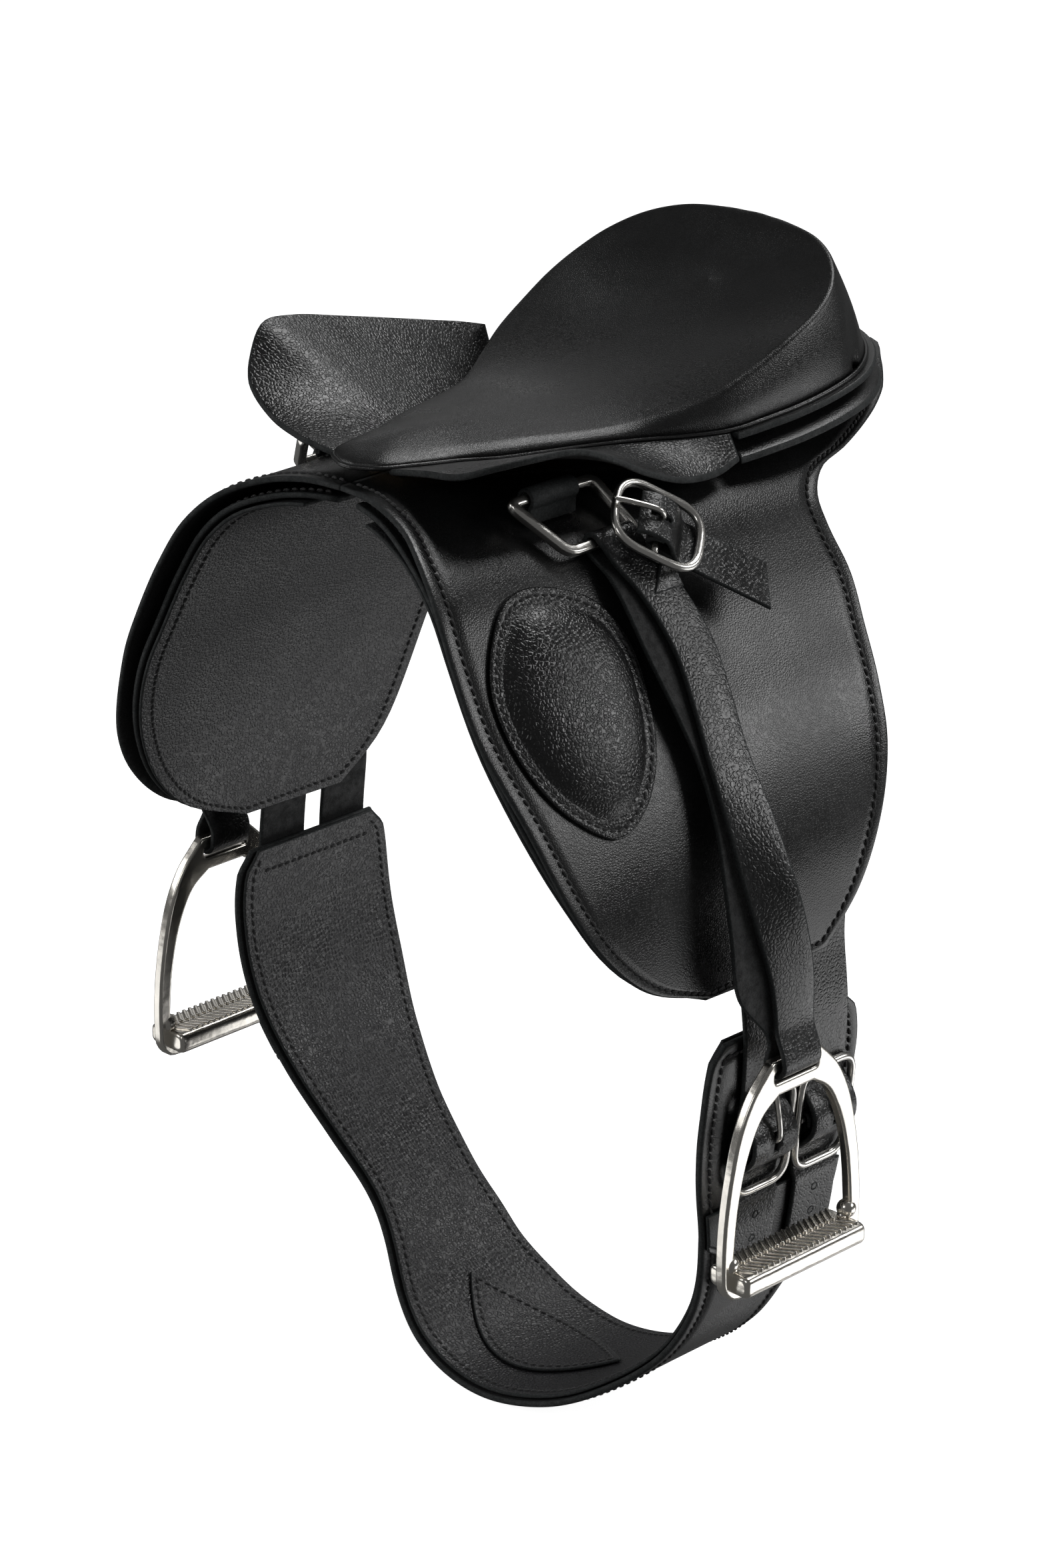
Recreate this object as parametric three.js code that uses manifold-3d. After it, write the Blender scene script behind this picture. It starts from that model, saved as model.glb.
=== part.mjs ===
// Miniature English saddle with stirrups and a closed contour girth.
// Millimetres. +X is the horse's left, -Y the pommel, +Y the cantle, +Z up.
// The shapes are laid out from the front edge of the pommel arch, and the whole
// object is then shifted so that the rest point under the gullet strip is the origin.
import * as THREE from "three";
import { mergeVertices } from "three/addons/utils/BufferGeometryUtils.js";
import Module from "manifold-3d";

const wasm = await Module();
wasm.setup();

// ---- Driving dimensions ----
const REST_POINT = { y: 80, z: -7.2 };
const LEATHER = 1.8;
const THIN_LEATHER = 1.2;
const STRAP = 1.5;
const STRAP_WIDTH = 15;
const BILLET_WIDTH = 18;
const GAP = 0.35;
const SMALLEST_EDGE = 0.01;
const WELD = 1e-3;
const SIDES = ["left", "right"];

// Arch of the saddle seen from the front: x and z of one half, from the middle down.
const ARCH = [
  [0, 2], [14, 1.6], [26, -0.8], [40, -7], [51, -17], [60, -31], [70, -49],
  [79, -64], [87, -80], [94, -98], [98.5, -116], [101.5, -134], [103, -152], [103.5, -170],
];
// The flaps open outwards a little towards the rear.
const FLARE = { perLength: 0.08, fromY: -20, fromArc: 30, overArc: 155 };

// Distance of each layer's outer face from the arch.
const FLAP_TOP = 0;
const SHEET_GAP = 0.7;
const BILLET_TOP = FLAP_TOP - LEATHER - SHEET_GAP;
const SWEAT_TOP = BILLET_TOP - STRAP - SHEET_GAP;
const LINING_TOP = SWEAT_TOP - LEATHER - SHEET_GAP;

// Seam between the fixed crown leather and each lifting flap, as [y, arc] at its two ends.
const SEAM = { front: [-16.5, 31], rear: [128, 51] };
const beyondSeam = ([y, arc], distance) => [y, arc + distance];

// Flap outlines as [y, arc], from the seam to the bottom edge.
const FLAP_FRONT = [
  beyondSeam(SEAM.front, GAP), [-21, 43], [-25, 60], [-27, 80], [-26.5, 98], [-22, 120], [-15, 146],
  [-6, 162], [8, 175], [31, 183.5],
];
const FLAP_REAR = [
  beyondSeam(SEAM.rear, GAP), [120, 58], [118, 66], [118, 80], [115, 96], [112, 112], [109, 128],
  [102, 148], [92, 168], [78, 183],
];
const SWEAT_FRONT = [
  [-9, 4], [-14, 22], [-19, 40], [-22, 66], [-23, 88], [-22, 108], [-18, 128], [-12, 145],
  [-3, 162], [10, 175], [34, 186],
];
const SWEAT_REAR = [
  [150, 4], [142, 24], [128, 44], [117, 60], [114, 80], [112, 98], [110, 116], [109, 134],
  [103, 155], [92, 173], [74, 187],
];
const CROWN_FRONT = [[-11, 0], [-12, 10], [-14, 20], beyondSeam(SEAM.front, -GAP)];
const CROWN_REAR = [
  [190, 0], [197, 10], [187.5, 22], [178.5, 31], [168, 37], [155, 42.5], [142, 47],
  beyondSeam(SEAM.rear, -GAP),
];

// Ovate knee roll patch on the flap, as [y, arc].
const KNEE_ROLL = [
  [7, 59], [-3, 61], [-12, 70], [-18, 82], [-18.5, 95], [-15, 110], [-7, 122],
  [6, 130.5], [16, 126], [25, 115], [31, 98], [32, 80], [26, 67],
];
const KNEE_ROLL_RISE = 6;

// Half outline of the padded seat: base is the bottom edge and rim the top edge, as [half width, y, z].
const SEAT = [
  { base: [1.5, -9, 7.2], rim: [1.2, -7, 9.6] },
  { base: [8.5, -5, 7.4], rim: [6.8, -3.5, 10] },
  { base: [12.6, 5, 7], rim: [11, 6, 9.6] },
  { base: [16, 18, 6.1], rim: [14.4, 18, 9.2] },
  { base: [20.3, 29, 5.3], rim: [19, 29, 9.2] },
  { base: [23.5, 40, 4.9], rim: [22.4, 40, 9] },
  { base: [28.6, 56, 4.6], rim: [27.4, 55, 8.3] },
  { base: [34.5, 71, 4.2], rim: [33, 70, 8.8] },
  { base: [40.6, 84, 3.8], rim: [39.6, 82, 11.6] },
  { base: [45.8, 96, 4], rim: [44.6, 94, 16.2] },
  { base: [48, 108, 5.2], rim: [47, 106, 21.4] },
  { base: [49, 121, 6.4], rim: [48.2, 118, 27] },
  { base: [48.6, 135, 8], rim: [47.8, 129, 31.8] },
  { base: [46, 148, 9.6], rim: [44.4, 139, 37] },
  { base: [39, 160, 11], rim: [37, 147, 41.8] },
  { base: [28, 170, 11.8], rim: [26, 152.5, 45.2] },
  { base: [13, 176.5, 12.2], rim: [12, 155, 46.8] },
  { base: [1.5, 178, 12.4], rim: [1.2, 156, 47.2] },
];
// Height of the seat along its middle, as [y, z].
const SPINE = [
  [-9, 9.6], [5, 12], [22, 12.4], [42, 11.8], [62, 11], [81, 12.5], [101, 17], [121, 24], [139, 33.5],
  [150, 41], [157, 47.2],
];

// Outer edge of each skirt wing as [y, x, z]; its inner edge follows the seat. The right one flares more.
const WING_EDGE = {
  left: [
    [-4, 26, 10.8], [-3.5, 39, 12.6], [1, 48, 16], [10, 54, 18], [24, 56, 17.4], [40, 54, 11],
    [56, 52.5, 2.6], [70, 52.5, -2.6], [84, 52, -4], [94.3, 50.6, -2.4],
  ],
  right: [
    [-4, 24, 9.4], [-2, 38, 12], [1, 50, 18.4], [6, 55, 24], [14, 58.5, 31], [26, 59, 30.6],
    [42, 58, 27.2], [60, 56, 23.2], [76, 54, 19.6], [86, 52.4, 17.4], [94.3, 50.6, 15.2],
  ],
};
const WING_THICKNESS = 2;

// Girth seen from the front as [x, z], from the left end to the right end. The belly hangs off centre.
const GIRTH_PATH = [
  [98, -150], [97.5, -166], [95.5, -182], [94, -198], [92.5, -212], [89, -228], [83, -243], [72, -260],
  [55, -275], [34, -287], [10, -293], [-8, -291], [-21, -285], [-32, -276], [-41, -263], [-52, -249],
  [-66, -234], [-80, -216], [-89, -199], [-95, -182], [-97.5, -166], [-98, -150],
];
// Edges of the girth, by distance along that path.
const GIRTH_FRONT = [
  [0, 40], [5, 35], [16, 33], [40, 34], [60, 38], [88, 43], [112, 42], [140, 36], [180, 33], [206, 34],
  [226, 39], [246, 43], [268, 41], [290, 37], [314, 33], [340, 33], [352, 35], [358, 40],
];
const GIRTH_REAR = [
  [0, 90], [5, 95], [16, 96.5], [40, 95], [60, 92], [88, 86], [112, 86], [140, 91], [180, 95], [206, 94],
  [226, 90], [246, 86], [268, 87], [290, 91], [314, 95], [340, 96], [352, 95], [358, 90],
];
const GIRTH_BODY_TOP = 1;

// Rods and hardware.
const RING_ROD = 1.5;
const BUCKLE_ROD = 1.15;
const BAR_ROD = 1;
const TONGUE_ROD = 0.75;
const TONGUE_EYE = 1.95;
const BILLET_ROWS = { front: 55, rear: 80 };
const BUCKLE_DROP = 33;
const GIRTH_BUCKLE = { width: 24, height: 34, corner: 6, strap: BILLET_WIDTH - 1 };
const LEATHER_BUCKLE = { width: 24, height: 30, corner: 8.5, strap: STRAP_WIDTH - 1 };

// D-ring: top bar and bottom bar, each as x, z and its y range.
const RING = {
  corner: 2.5,
  top: { x: 41, z: 0.4, y: [13, 45] },
  bottom: { x: 54, z: -12.4, y: [23, 49] },
};
// Stirrup irons: centre of each top bar. The right leather hangs a little longer and further out.
const IRON = { left: { x: 113, y: 52, z: -153 }, right: { x: 118, y: 46.5, z: -152.5 } };
const IRON_BAR = 3.6;
const IRON_SLOT = { half: 8.8, top: -1.8, bottom: -4.9 };
// Half of an iron's outer edge and of its opening, as [y, z] from the centre of the top bar.
const IRON_OUTER = [
  [9.5, 1.8], [12.6, -1.2], [17.5, -6.5], [22.5, -16], [26.2, -30], [28.2, -44], [28.6, -57], [28, -62.6],
  [24.6, -66.4], [19, -67],
];
const IRON_INNER = [[20, -62], [24, -56], [24, -50], [22.4, -36], [18.8, -23], [13.5, -13.5], [7, -9]];
const TREAD = { length: 50, depth: 15, thickness: 6.6, drop: 61, ribs: 7, ribSpacing: 6.6, ribWidth: 2, ribRise: 1 };
const BEAD = { radius: 3, y: 24.5, drop: 55.5 };

// ---- Materials ----
const finish = (color, roughness, metalness = 0) =>
  new THREE.MeshStandardMaterial({ color, roughness, metalness });
const BLACK_LEATHER = 0x17181a;
const SOFT_LEATHER = 0x1d1e20;
const LINING_LEATHER = 0x2a282c;
const NICKEL = 0xd8d6cf;

// ---- Geometry helpers ----
const curveThrough = (points, closed = false) =>
  new THREE.CatmullRomCurve3(points.map((p) => new THREE.Vector3(p[0], p[1], p[2] ?? 0)), closed, "centripetal");
const samples = (points, count) => curveThrough(points).getSpacedPoints(count);

// Value of a smooth line through [position, value] pairs.
function valueAt(table, position) {
  const last = table.length - 1;
  if (position <= table[0][0]) return table[0][1];
  if (position >= table[last][0]) return table[last][1];
  const i = table.findIndex((row) => row[0] > position) - 1;
  const t = (position - table[i][0]) / (table[i + 1][0] - table[i][0]);
  const before = table[Math.max(i - 1, 0)][1];
  const after = table[Math.min(i + 2, last)][1];
  const [a, b] = [table[i][1], table[i + 1][1]];
  const [slopeA, slopeB] = [(b - before) / 2, (after - a) / 2];
  const t2 = t * t;
  const t3 = t2 * t;
  return a * (2 * t3 - 3 * t2 + 1) + b * (3 * t2 - 2 * t3) + slopeA * (t3 - 2 * t2 + t) + slopeB * (t3 - t2);
}

function closedMesh(vertices, triangles) {
  const geometry = new THREE.BufferGeometry();
  geometry.setAttribute("position", new THREE.Float32BufferAttribute(vertices.flat(), 3));
  geometry.setIndex(triangles.flat());
  return geometry;
}

// Turns a geometry's faces round when they point inwards.
function facingOut(geometry) {
  const solid = toSolid(geometry);
  if (solid.volume() >= 0) return geometry;
  const index = Array.from(geometry.index.array);
  for (let i = 0; i < index.length; i += 3) {
    [index[i + 1], index[i + 2]] = [index[i + 2], index[i + 1]];
  }
  geometry.setIndex(index);
  return geometry;
}

function bareCopy(geometry) {
  const bare = geometry.clone();
  bare.deleteAttribute("normal");
  bare.deleteAttribute("uv");
  return bare;
}

function toSolid(geometry) {
  const merged = mergeVertices(bareCopy(geometry), WELD);
  return new wasm.Manifold(
    new wasm.Mesh({
      numProp: 3,
      vertProperties: merged.attributes.position.array,
      triVerts: new Uint32Array(merged.index.array),
    }),
  );
}

function toGeometry(solid) {
  const mesh = solid.simplify(SMALLEST_EDGE).getMesh();
  const geometry = new THREE.BufferGeometry();
  geometry.setAttribute("position", new THREE.BufferAttribute(new Float32Array(mesh.vertProperties), 3));
  geometry.setIndex(Array.from(mesh.triVerts));
  return geometry;
}

const join = (...geometries) => toGeometry(geometries.map(toSolid).reduce((a, b) => a.add(b)));
const cut = (geometry, ...tools) =>
  toGeometry(tools.map(toSolid).reduce((a, b) => a.subtract(b), toSolid(geometry)));

// Closed sheet between two equal grids of points.
function slab(outer, inner) {
  const rows = outer.length;
  const columns = outer[0].length;
  const vertices = [...outer.flat(), ...inner.flat()];
  const at = (layer, row, column) => layer * rows * columns + row * columns + column;
  const triangles = [];
  const quad = (a, b, c, d) => triangles.push([a, b, c], [a, c, d]);
  for (let r = 0; r + 1 < rows; r++)
    for (let c = 0; c + 1 < columns; c++) {
      quad(at(0, r, c), at(0, r, c + 1), at(0, r + 1, c + 1), at(0, r + 1, c));
      quad(at(1, r, c), at(1, r + 1, c), at(1, r + 1, c + 1), at(1, r, c + 1));
    }
  for (let r = 0; r + 1 < rows; r++) {
    quad(at(0, r, 0), at(0, r + 1, 0), at(1, r + 1, 0), at(1, r, 0));
    quad(at(0, r + 1, columns - 1), at(0, r, columns - 1), at(1, r, columns - 1), at(1, r + 1, columns - 1));
  }
  for (let c = 0; c + 1 < columns; c++) {
    quad(at(0, 0, c + 1), at(0, 0, c), at(1, 0, c), at(1, 0, c + 1));
    quad(at(0, rows - 1, c), at(0, rows - 1, c + 1), at(1, rows - 1, c + 1), at(1, rows - 1, c));
  }
  return facingOut(closedMesh(vertices, triangles));
}

// Closed solid through a stack of closed rings, with a fan on the first and the last ring.
function ringStack(rings) {
  const count = rings[0].length;
  const vertices = rings.flat();
  const triangles = [];
  for (let r = 0; r + 1 < rings.length; r++)
    for (let i = 0; i < count; i++) {
      const [a, b] = [r * count + i, r * count + ((i + 1) % count)];
      triangles.push([a, b, b + count], [a, b + count, a + count]);
    }
  [0, rings.length - 1].forEach((r) => {
    const middle = [0, 1, 2].map((k) => rings[r].reduce((sum, p) => sum + p[k], 0) / count);
    vertices.push(middle);
    for (let i = 0; i < count; i++) {
      const edge = [r * count + i, r * count + ((i + 1) % count)];
      triangles.push(r === 0 ? [edge[1], edge[0], vertices.length - 1] : [edge[0], edge[1], vertices.length - 1]);
    }
  });
  return facingOut(closedMesh(vertices, triangles));
}

// Round rod through points that lie in one plane; normal is that plane's normal.
function rod(points, radius, normal, { closed = false, sides = 8 } = {}) {
  const n = new THREE.Vector3(...normal).normalize();
  const rings = points.map((p, i) => {
    const count = points.length;
    const before = points[closed ? (i + count - 1) % count : Math.max(i - 1, 0)];
    const after = points[closed ? (i + 1) % count : Math.min(i + 1, count - 1)];
    const tangent = new THREE.Vector3(...after).sub(new THREE.Vector3(...before)).normalize();
    const across = new THREE.Vector3().crossVectors(n, tangent);
    return Array.from({ length: sides }, (_, k) => {
      const angle = (2 * Math.PI * k) / sides;
      return new THREE.Vector3(...p)
        .addScaledVector(across, radius * Math.cos(angle))
        .addScaledVector(n, radius * Math.sin(angle))
        .toArray();
    });
  });
  return closed ? closedLoop(rings) : ringStack(rings);
}

// Closed solid through a loop of equal rings of points.
function closedLoop(rings) {
  const count = rings[0].length;
  const triangles = rings.flatMap((_, r) =>
    rings[0].flatMap((__, k) => {
      const [next, j] = [(r + 1) % rings.length, (k + 1) % count];
      const [a, b, c, d] = [r * count + k, r * count + j, next * count + j, next * count + k];
      return [[a, b, c], [a, c, d]];
    }),
  );
  return facingOut(closedMesh(rings.flat(), triangles));
}

// Rounded corners for a flat polygon of [a, b] points.
function rounded(polygon, radius, steps = 4) {
  return polygon.flatMap((corner, i) => {
    const p = new THREE.Vector2(...corner);
    const toward = (other) => new THREE.Vector2(...other).sub(p).normalize().multiplyScalar(radius).add(p);
    const start = toward(polygon[(i + polygon.length - 1) % polygon.length]);
    const end = toward(polygon[(i + 1) % polygon.length]);
    const arc = new THREE.QuadraticBezierCurve(start, p, end);
    return arc.getPoints(steps).map((q) => [q.x, q.y]);
  });
}

// Flat shape drawn as [y, z] and made depth thick around x = 0.
function plateAlongX(outline, depth) {
  const shape = new THREE.Shape(outline.map(([y, z]) => new THREE.Vector2(y, z)));
  const plate = new THREE.ExtrudeGeometry(shape, { depth, bevelEnabled: false });
  const axes = [[0, 1, 0], [0, 0, 1], [1, 0, 0]].map((axis) => new THREE.Vector3(...axis));
  plate.applyMatrix4(new THREE.Matrix4().makeBasis(...axes));
  plate.translate(-depth / 2, 0, 0);
  return facingOut(mergeVertices(bareCopy(plate), WELD));
}

function box(size, centre) {
  const geometry = new THREE.BoxGeometry(...size);
  geometry.translate(...centre);
  return geometry;
}

// ---- The arch that flaps, billets and linings follow ----
const archCurve = curveThrough(ARCH);
const ARCH_LENGTH = archCurve.getLength();

// Point on the left half of the arch, at a length position, an arc length and a distance outwards.
function onArch(y, arc, outwards = 0) {
  const u = Math.min(Math.abs(arc) / ARCH_LENGTH, 1);
  const p = archCurve.getPointAt(u);
  const t = archCurve.getTangentAt(u);
  const phase = (Math.abs(arc) - FLARE.fromArc) / FLARE.overArc;
  const flare = phase > 0 && phase < 1 ? FLARE.perLength * (y - FLARE.fromY) * Math.sin(Math.PI * phase) : 0;
  const side = arc < 0 ? -1 : 1;
  return [side * (p.x + flare - t.y * outwards), y, p.y + t.x * outwards];
}

// Leather on the arch between a front and a rear edge given as [y, arc].
function archSheet(front, rear, outwards, thickness, { rows = 12, columns = 5 } = {}) {
  const frontEdge = samples(front, rows);
  const rearEdge = samples(rear, rows);
  const layer = (distance) =>
    frontEdge.map((f, i) =>
      Array.from({ length: columns + 1 }, (_, c) => {
        const t = c / columns;
        return onArch(f.x + (rearEdge[i].x - f.x) * t, f.y + (rearEdge[i].y - f.y) * t, distance);
      }),
    );
  return slab(layer(outwards), layer(outwards - thickness));
}

// Leather across the middle of the saddle, symmetric about it.
function crownSheet(front, rear, outwards, thickness, { rows = 12, columns = 8 } = {}) {
  const both = (edge) => [...edge.slice(1).reverse().map(([y, arc]) => [y, -arc]), ...edge];
  return archSheet(both(front), both(rear), outwards, thickness, { rows, columns });
}

// ---- Seat ----
const seatHalf = (y) => valueAt(SEAT.map(({ base }) => [base[1], base[0]]), y);
const seatEdge = (y) => valueAt(SEAT.map(({ base }) => [base[1], base[2]]), y);
const SEAT_MIDDLE = 80;
const SIDE_BULGE = 1.5;

// One closed ring of the seat. level 0 is the bottom edge, 1 the rim, 2 the middle of the top.
function seatRing(level, inset, lift = 0) {
  const wall = Math.min(level, 1);
  const inwards = Math.max(level - 1, 0);
  const half = SEAT.map(({ base, rim }) => {
    const [x, y, z] = [0, 1, 2].map((k) => THREE.MathUtils.lerp(base[k], rim[k], wall));
    const width = Math.max((x + SIDE_BULGE * Math.sin(Math.PI * wall) - inset) * (1 - inwards), 0.35);
    const length = SEAT_MIDDLE + (y - SEAT_MIDDLE) * (1 - inset / 85);
    const spineY = THREE.MathUtils.lerp(12, 140, (y + 9) / 174);
    const height = THREE.MathUtils.lerp(z, valueAt(SPINE, spineY), Math.sin((Math.PI / 2) * inwards));
    return [width, THREE.MathUtils.lerp(length, spineY, inwards), height + lift];
  });
  const otherHalf = half.map(([x, y, z]) => [-x, y, z]).reverse();
  return [...half, ...otherHalf];
}

function seatFoam() {
  const inset = THIN_LEATHER + 2 * GAP;
  const floor = (share, height) =>
    seatRing(0, inset).map(([x, y, z]) => [x * share, SEAT_MIDDLE + (y - SEAT_MIDDLE) * share, height(z)]);
  return ringStack([
    floor(0.1, () => 7.2),
    floor(0.6, () => 6.9),
    floor(0.92, (z) => Math.max(z, 5)),
    seatRing(0.25, inset, 0.4),
    seatRing(0.5, inset, 0),
    seatRing(1, inset, -inset - GAP),
    seatRing(1.4, inset, -inset - GAP),
    seatRing(1.8, inset, -inset - GAP),
  ]);
}

function seatCover() {
  const outer = [1.8, 1.4, 1, 0.5, 0].map((level) => seatRing(level, 0));
  const inner = [0, 0.5, 1, 1.4, 1.8].map((level) =>
    seatRing(level, THIN_LEATHER, level >= 1 ? -THIN_LEATHER : 0),
  );
  return ringStack([...outer, ...inner]);
}

// Band under the rear edge of the seat, between two offsets from the seat's plan.
function rearBand(fromY, outerOffset, innerOffset, top, thickness) {
  const halfPath = SEAT.map(({ base }) => base).filter((base) => base[1] >= fromY);
  const path = [...halfPath, ...halfPath.map(([x, y]) => [-x, y]).reverse()];
  const line = samples(path, 20);
  const layer = (drop) =>
    line.map((p, i) => {
      const next = line[Math.min(i + 1, line.length - 1)];
      const before = line[Math.max(i - 1, 0)];
      const direction = new THREE.Vector3().subVectors(next, before).normalize();
      const outwards = [direction.y, -direction.x];
      return [outerOffset, (outerOffset + innerOffset) / 2, innerOffset].map((offset) => {
        const x = p.x + outwards[0] * offset;
        const y = p.y + outwards[1] * offset;
        return [x, y, top(x, p.y, offset) - drop];
      });
    });
  return slab(layer(0), layer(thickness));
}

// ---- Straps seen from the front, extruded along the length of the saddle ----
// path holds [x, z]; front and rear give the strap's edges along the path.
function ribbon(path, outwards, thickness, front, rear, { rows = 24, columns = 2 } = {}) {
  const curve = curveThrough(path);
  const length = curve.getLength();
  const layer = (distance) =>
    Array.from({ length: rows + 1 }, (_, i) => {
      const p = curve.getPointAt(i / rows);
      const t = curve.getTangentAt(i / rows);
      const along = (length * i) / rows;
      return Array.from({ length: columns + 1 }, (_, c) => [
        p.x - t.y * distance,
        THREE.MathUtils.lerp(front(along), rear(along), c / columns),
        p.y + t.x * distance,
      ]);
    });
  return slab(layer(outwards), layer(outwards - thickness));
}

// The girth's path, and the same path as it is met from the right end and mirrored to the left.
const GIRTH_CURVE = {
  left: curveThrough(GIRTH_PATH),
  right: curveThrough(GIRTH_PATH.map(([x, z]) => [-x, z]).reverse()),
};
const GIRTH_LENGTH = GIRTH_CURVE.left.getLength();
const girthShare = (along) => along * (GIRTH_FRONT.at(-1)[0] / GIRTH_LENGTH);
const girthFront = (inset) => (along) => valueAt(GIRTH_FRONT, girthShare(along)) + inset;
const girthRear = (inset) => (along) => valueAt(GIRTH_REAR, girthShare(along)) - inset;
const fromSide = (side, along) => (side === "left" ? along : GIRTH_LENGTH - along);

// Point on the girth by distance from one end; the right end's points are given mirrored.
function girthPoint(side, along, outwards) {
  const u = along / GIRTH_LENGTH;
  const p = GIRTH_CURVE[side].getPointAt(u);
  const t = GIRTH_CURVE[side].getTangentAt(u);
  return [p.x - t.y * outwards, p.y + t.x * outwards];
}

// ---- Buckles, in a frame with the bar along X, the tongue towards +Y and the outside at +Z ----
function buckleFrame({ width, height, corner }) {
  const [w, h] = [width / 2 - BUCKLE_ROD, height / 2 - BUCKLE_ROD];
  const outline = rounded([[-w, -h], [w, -h], [w, h], [-w, h]], corner);
  const frame = rod(outline.map(([x, y]) => [x, y, 0]), BUCKLE_ROD, [0, 0, 1], { closed: true });
  const bar = rod([[-w, 0, 0], [w, 0, 0]], BAR_ROD, [0, 0, 1]);
  return join(frame, bar);
}

// The tongue loops round the bar, arches over the strap and rests on the far end of the frame.
const TONGUE_REST = BUCKLE_ROD + TONGUE_ROD + 0.4;
function buckleTongue({ height }) {
  const reach = height / 2 - BUCKLE_ROD;
  const eye = Array.from({ length: 10 }, (_, i) => {
    const angle = (2 * Math.PI * i) / 10;
    return [0, TONGUE_EYE * Math.cos(angle), TONGUE_EYE * Math.sin(angle)];
  });
  const pin = [
    [0, 0, TONGUE_EYE], [0, 1.2, 4.6], [0, 3, 5.8], [0, reach * 0.75, 4],
    [0, reach, TONGUE_REST + 0.3], [0, reach + 2, TONGUE_REST],
  ];
  return join(
    rod(eye, TONGUE_ROD, [1, 0, 0], { closed: true, sides: 6 }),
    rod(samples(pin, 8).map((p) => p.toArray()), TONGUE_ROD, [1, 0, 0], { sides: 6 }),
  );
}
// Clearance that the tongue sweeps through leather when it turns.
const TONGUE_SLOT = { width: 2.6, behind: 4.2, depth: 16, rise: 2 };
function tongueSlot({ height }) {
  const { width, behind, depth, rise } = TONGUE_SLOT;
  const ahead = height / 2 - 0.2;
  return box([width, ahead + behind, depth], [0, (ahead - behind) / 2, rise]);
}

// Strap end that wraps the bar, inside the tongue's loop, and runs back below it.
const CHAPE = { inner: 1.5, outer: 2.8, lip: 1.5 };
function buckleChape(size, backPath) {
  const { inner, outer, lip } = CHAPE;
  const halfTurn = (radius, from, turn) =>
    Array.from({ length: 9 }, (_, i) => {
      const angle = from + (turn * i) / 8;
      return [radius * Math.cos(angle), radius * Math.sin(angle)];
    });
  const outline = [
    ...halfTurn(outer, Math.PI / 2, -Math.PI), [-backPath, -outer], [-backPath, -inner],
    ...halfTurn(inner, -Math.PI / 2, Math.PI), [-lip, inner], [-lip, outer],
  ];
  return cut(plateAlongX(outline, size.strap), tongueSlot(size));
}

// Places a buckle frame: origin, direction of the tongue and outward normal.
function placement(origin, towards, outwards) {
  const y = new THREE.Vector3(...towards).normalize();
  const z = new THREE.Vector3(...outwards);
  z.addScaledVector(y, -z.dot(y)).normalize();
  const x = new THREE.Vector3().crossVectors(y, z);
  return new THREE.Matrix4().makeBasis(x, y, z).setPosition(...origin);
}

// Mirror image of a piece across the middle of the saddle.
function mirrored(geometry) {
  const copy = geometry.clone();
  copy.scale(-1, 1, 1);
  return facingOut(copy);
}
const onSide = (geometry, side) => (side === "left" ? geometry : mirrored(geometry));

// ---- Core pieces ----
const archHeight = (x) => valueAt(ARCH, Math.abs(x));

const TREE = { fromY: 6, toY: 130, topZ: 5.7, share: 0.52, clearance: 0.45 };
function tree() {
  const { fromY, toY, topZ, share, clearance } = TREE;
  const [rows, columns] = [8, 6];
  const layer = (height) =>
    Array.from({ length: rows + 1 }, (_, r) => {
      const y = THREE.MathUtils.lerp(fromY, toY, r / rows);
      return Array.from({ length: columns + 1 }, (_, c) => {
        const x = seatHalf(y) * share * (1 - (2 * c) / columns);
        return [x, y, height(x)];
      });
    });
  return slab(layer(() => topZ), layer((x) => archHeight(x) + clearance));
}

const GULLET = { width: 22, length: 140, thickness: 2 };
const gulletStrip = () => box(
  [GULLET.width, GULLET.length, GULLET.thickness],
  [0, REST_POINT.y, REST_POINT.z + GULLET.thickness / 2],
);

// Webbing over the tree that the billets hang from.
const WEBBING = { margin: 9, toArc: 32 };
function billetWebbing() {
  const edge = (y) => [[y, 0], [y, WEBBING.toArc]];
  const [front, rear] = [edge(BILLET_ROWS.front - WEBBING.margin), edge(BILLET_ROWS.rear + WEBBING.margin)];
  return crownSheet(front, rear, BILLET_TOP, STRAP, { rows: 10, columns: 3 });
}

const RIM = { fromY: 95, out: 3.4, in: -6, thickness: 2 };
const REAR_SKIRT = { fromY: 90, out: 5, in: -4, thickness: 2, fall: 0.5 };
const rimTop = (y) => seatEdge(y) - GAP;
const seatRim = () => rearBand(RIM.fromY, RIM.out, RIM.in, (x, y) => rimTop(y), RIM.thickness);
const rearSkirt = () => rearBand(REAR_SKIRT.fromY, REAR_SKIRT.out, REAR_SKIRT.in, (x, y, offset) => {
  const hanging = rimTop(y) - RIM.thickness - GAP - (offset - REAR_SKIRT.in) * REAR_SKIRT.fall;
  const resting = archHeight(Math.max(Math.abs(x) + REAR_SKIRT.in, 0)) + REAR_SKIRT.thickness + GAP;
  return Math.max(hanging, resting);
}, REAR_SKIRT.thickness);

// ---- Skirt wings ----
const WING_HINGE = { fromY: -3, toY: 94.6, clearance: 1.4 };
const wingRoot = (y) => [seatHalf(y) + WING_HINGE.clearance, y, seatEdge(y)];

function wing(side) {
  const [rows, columns] = [11, 3];
  const outer = samples(WING_EDGE[side].map(([y, x, z]) => [x, y, z]), rows);
  const layer = (drop) =>
    outer.map((edge, i) => {
      const inner = wingRoot(THREE.MathUtils.lerp(WING_HINGE.fromY, WING_HINGE.toY, i / rows));
      return Array.from({ length: columns + 1 }, (_, c) => {
        const t = c / columns;
        return [0, 1, 2].map((k) => THREE.MathUtils.lerp(inner[k], edge.getComponent(k), t) - (k === 2 ? drop : 0));
      });
    });
  return slab(layer(0), layer(WING_THICKNESS));
}

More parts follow.
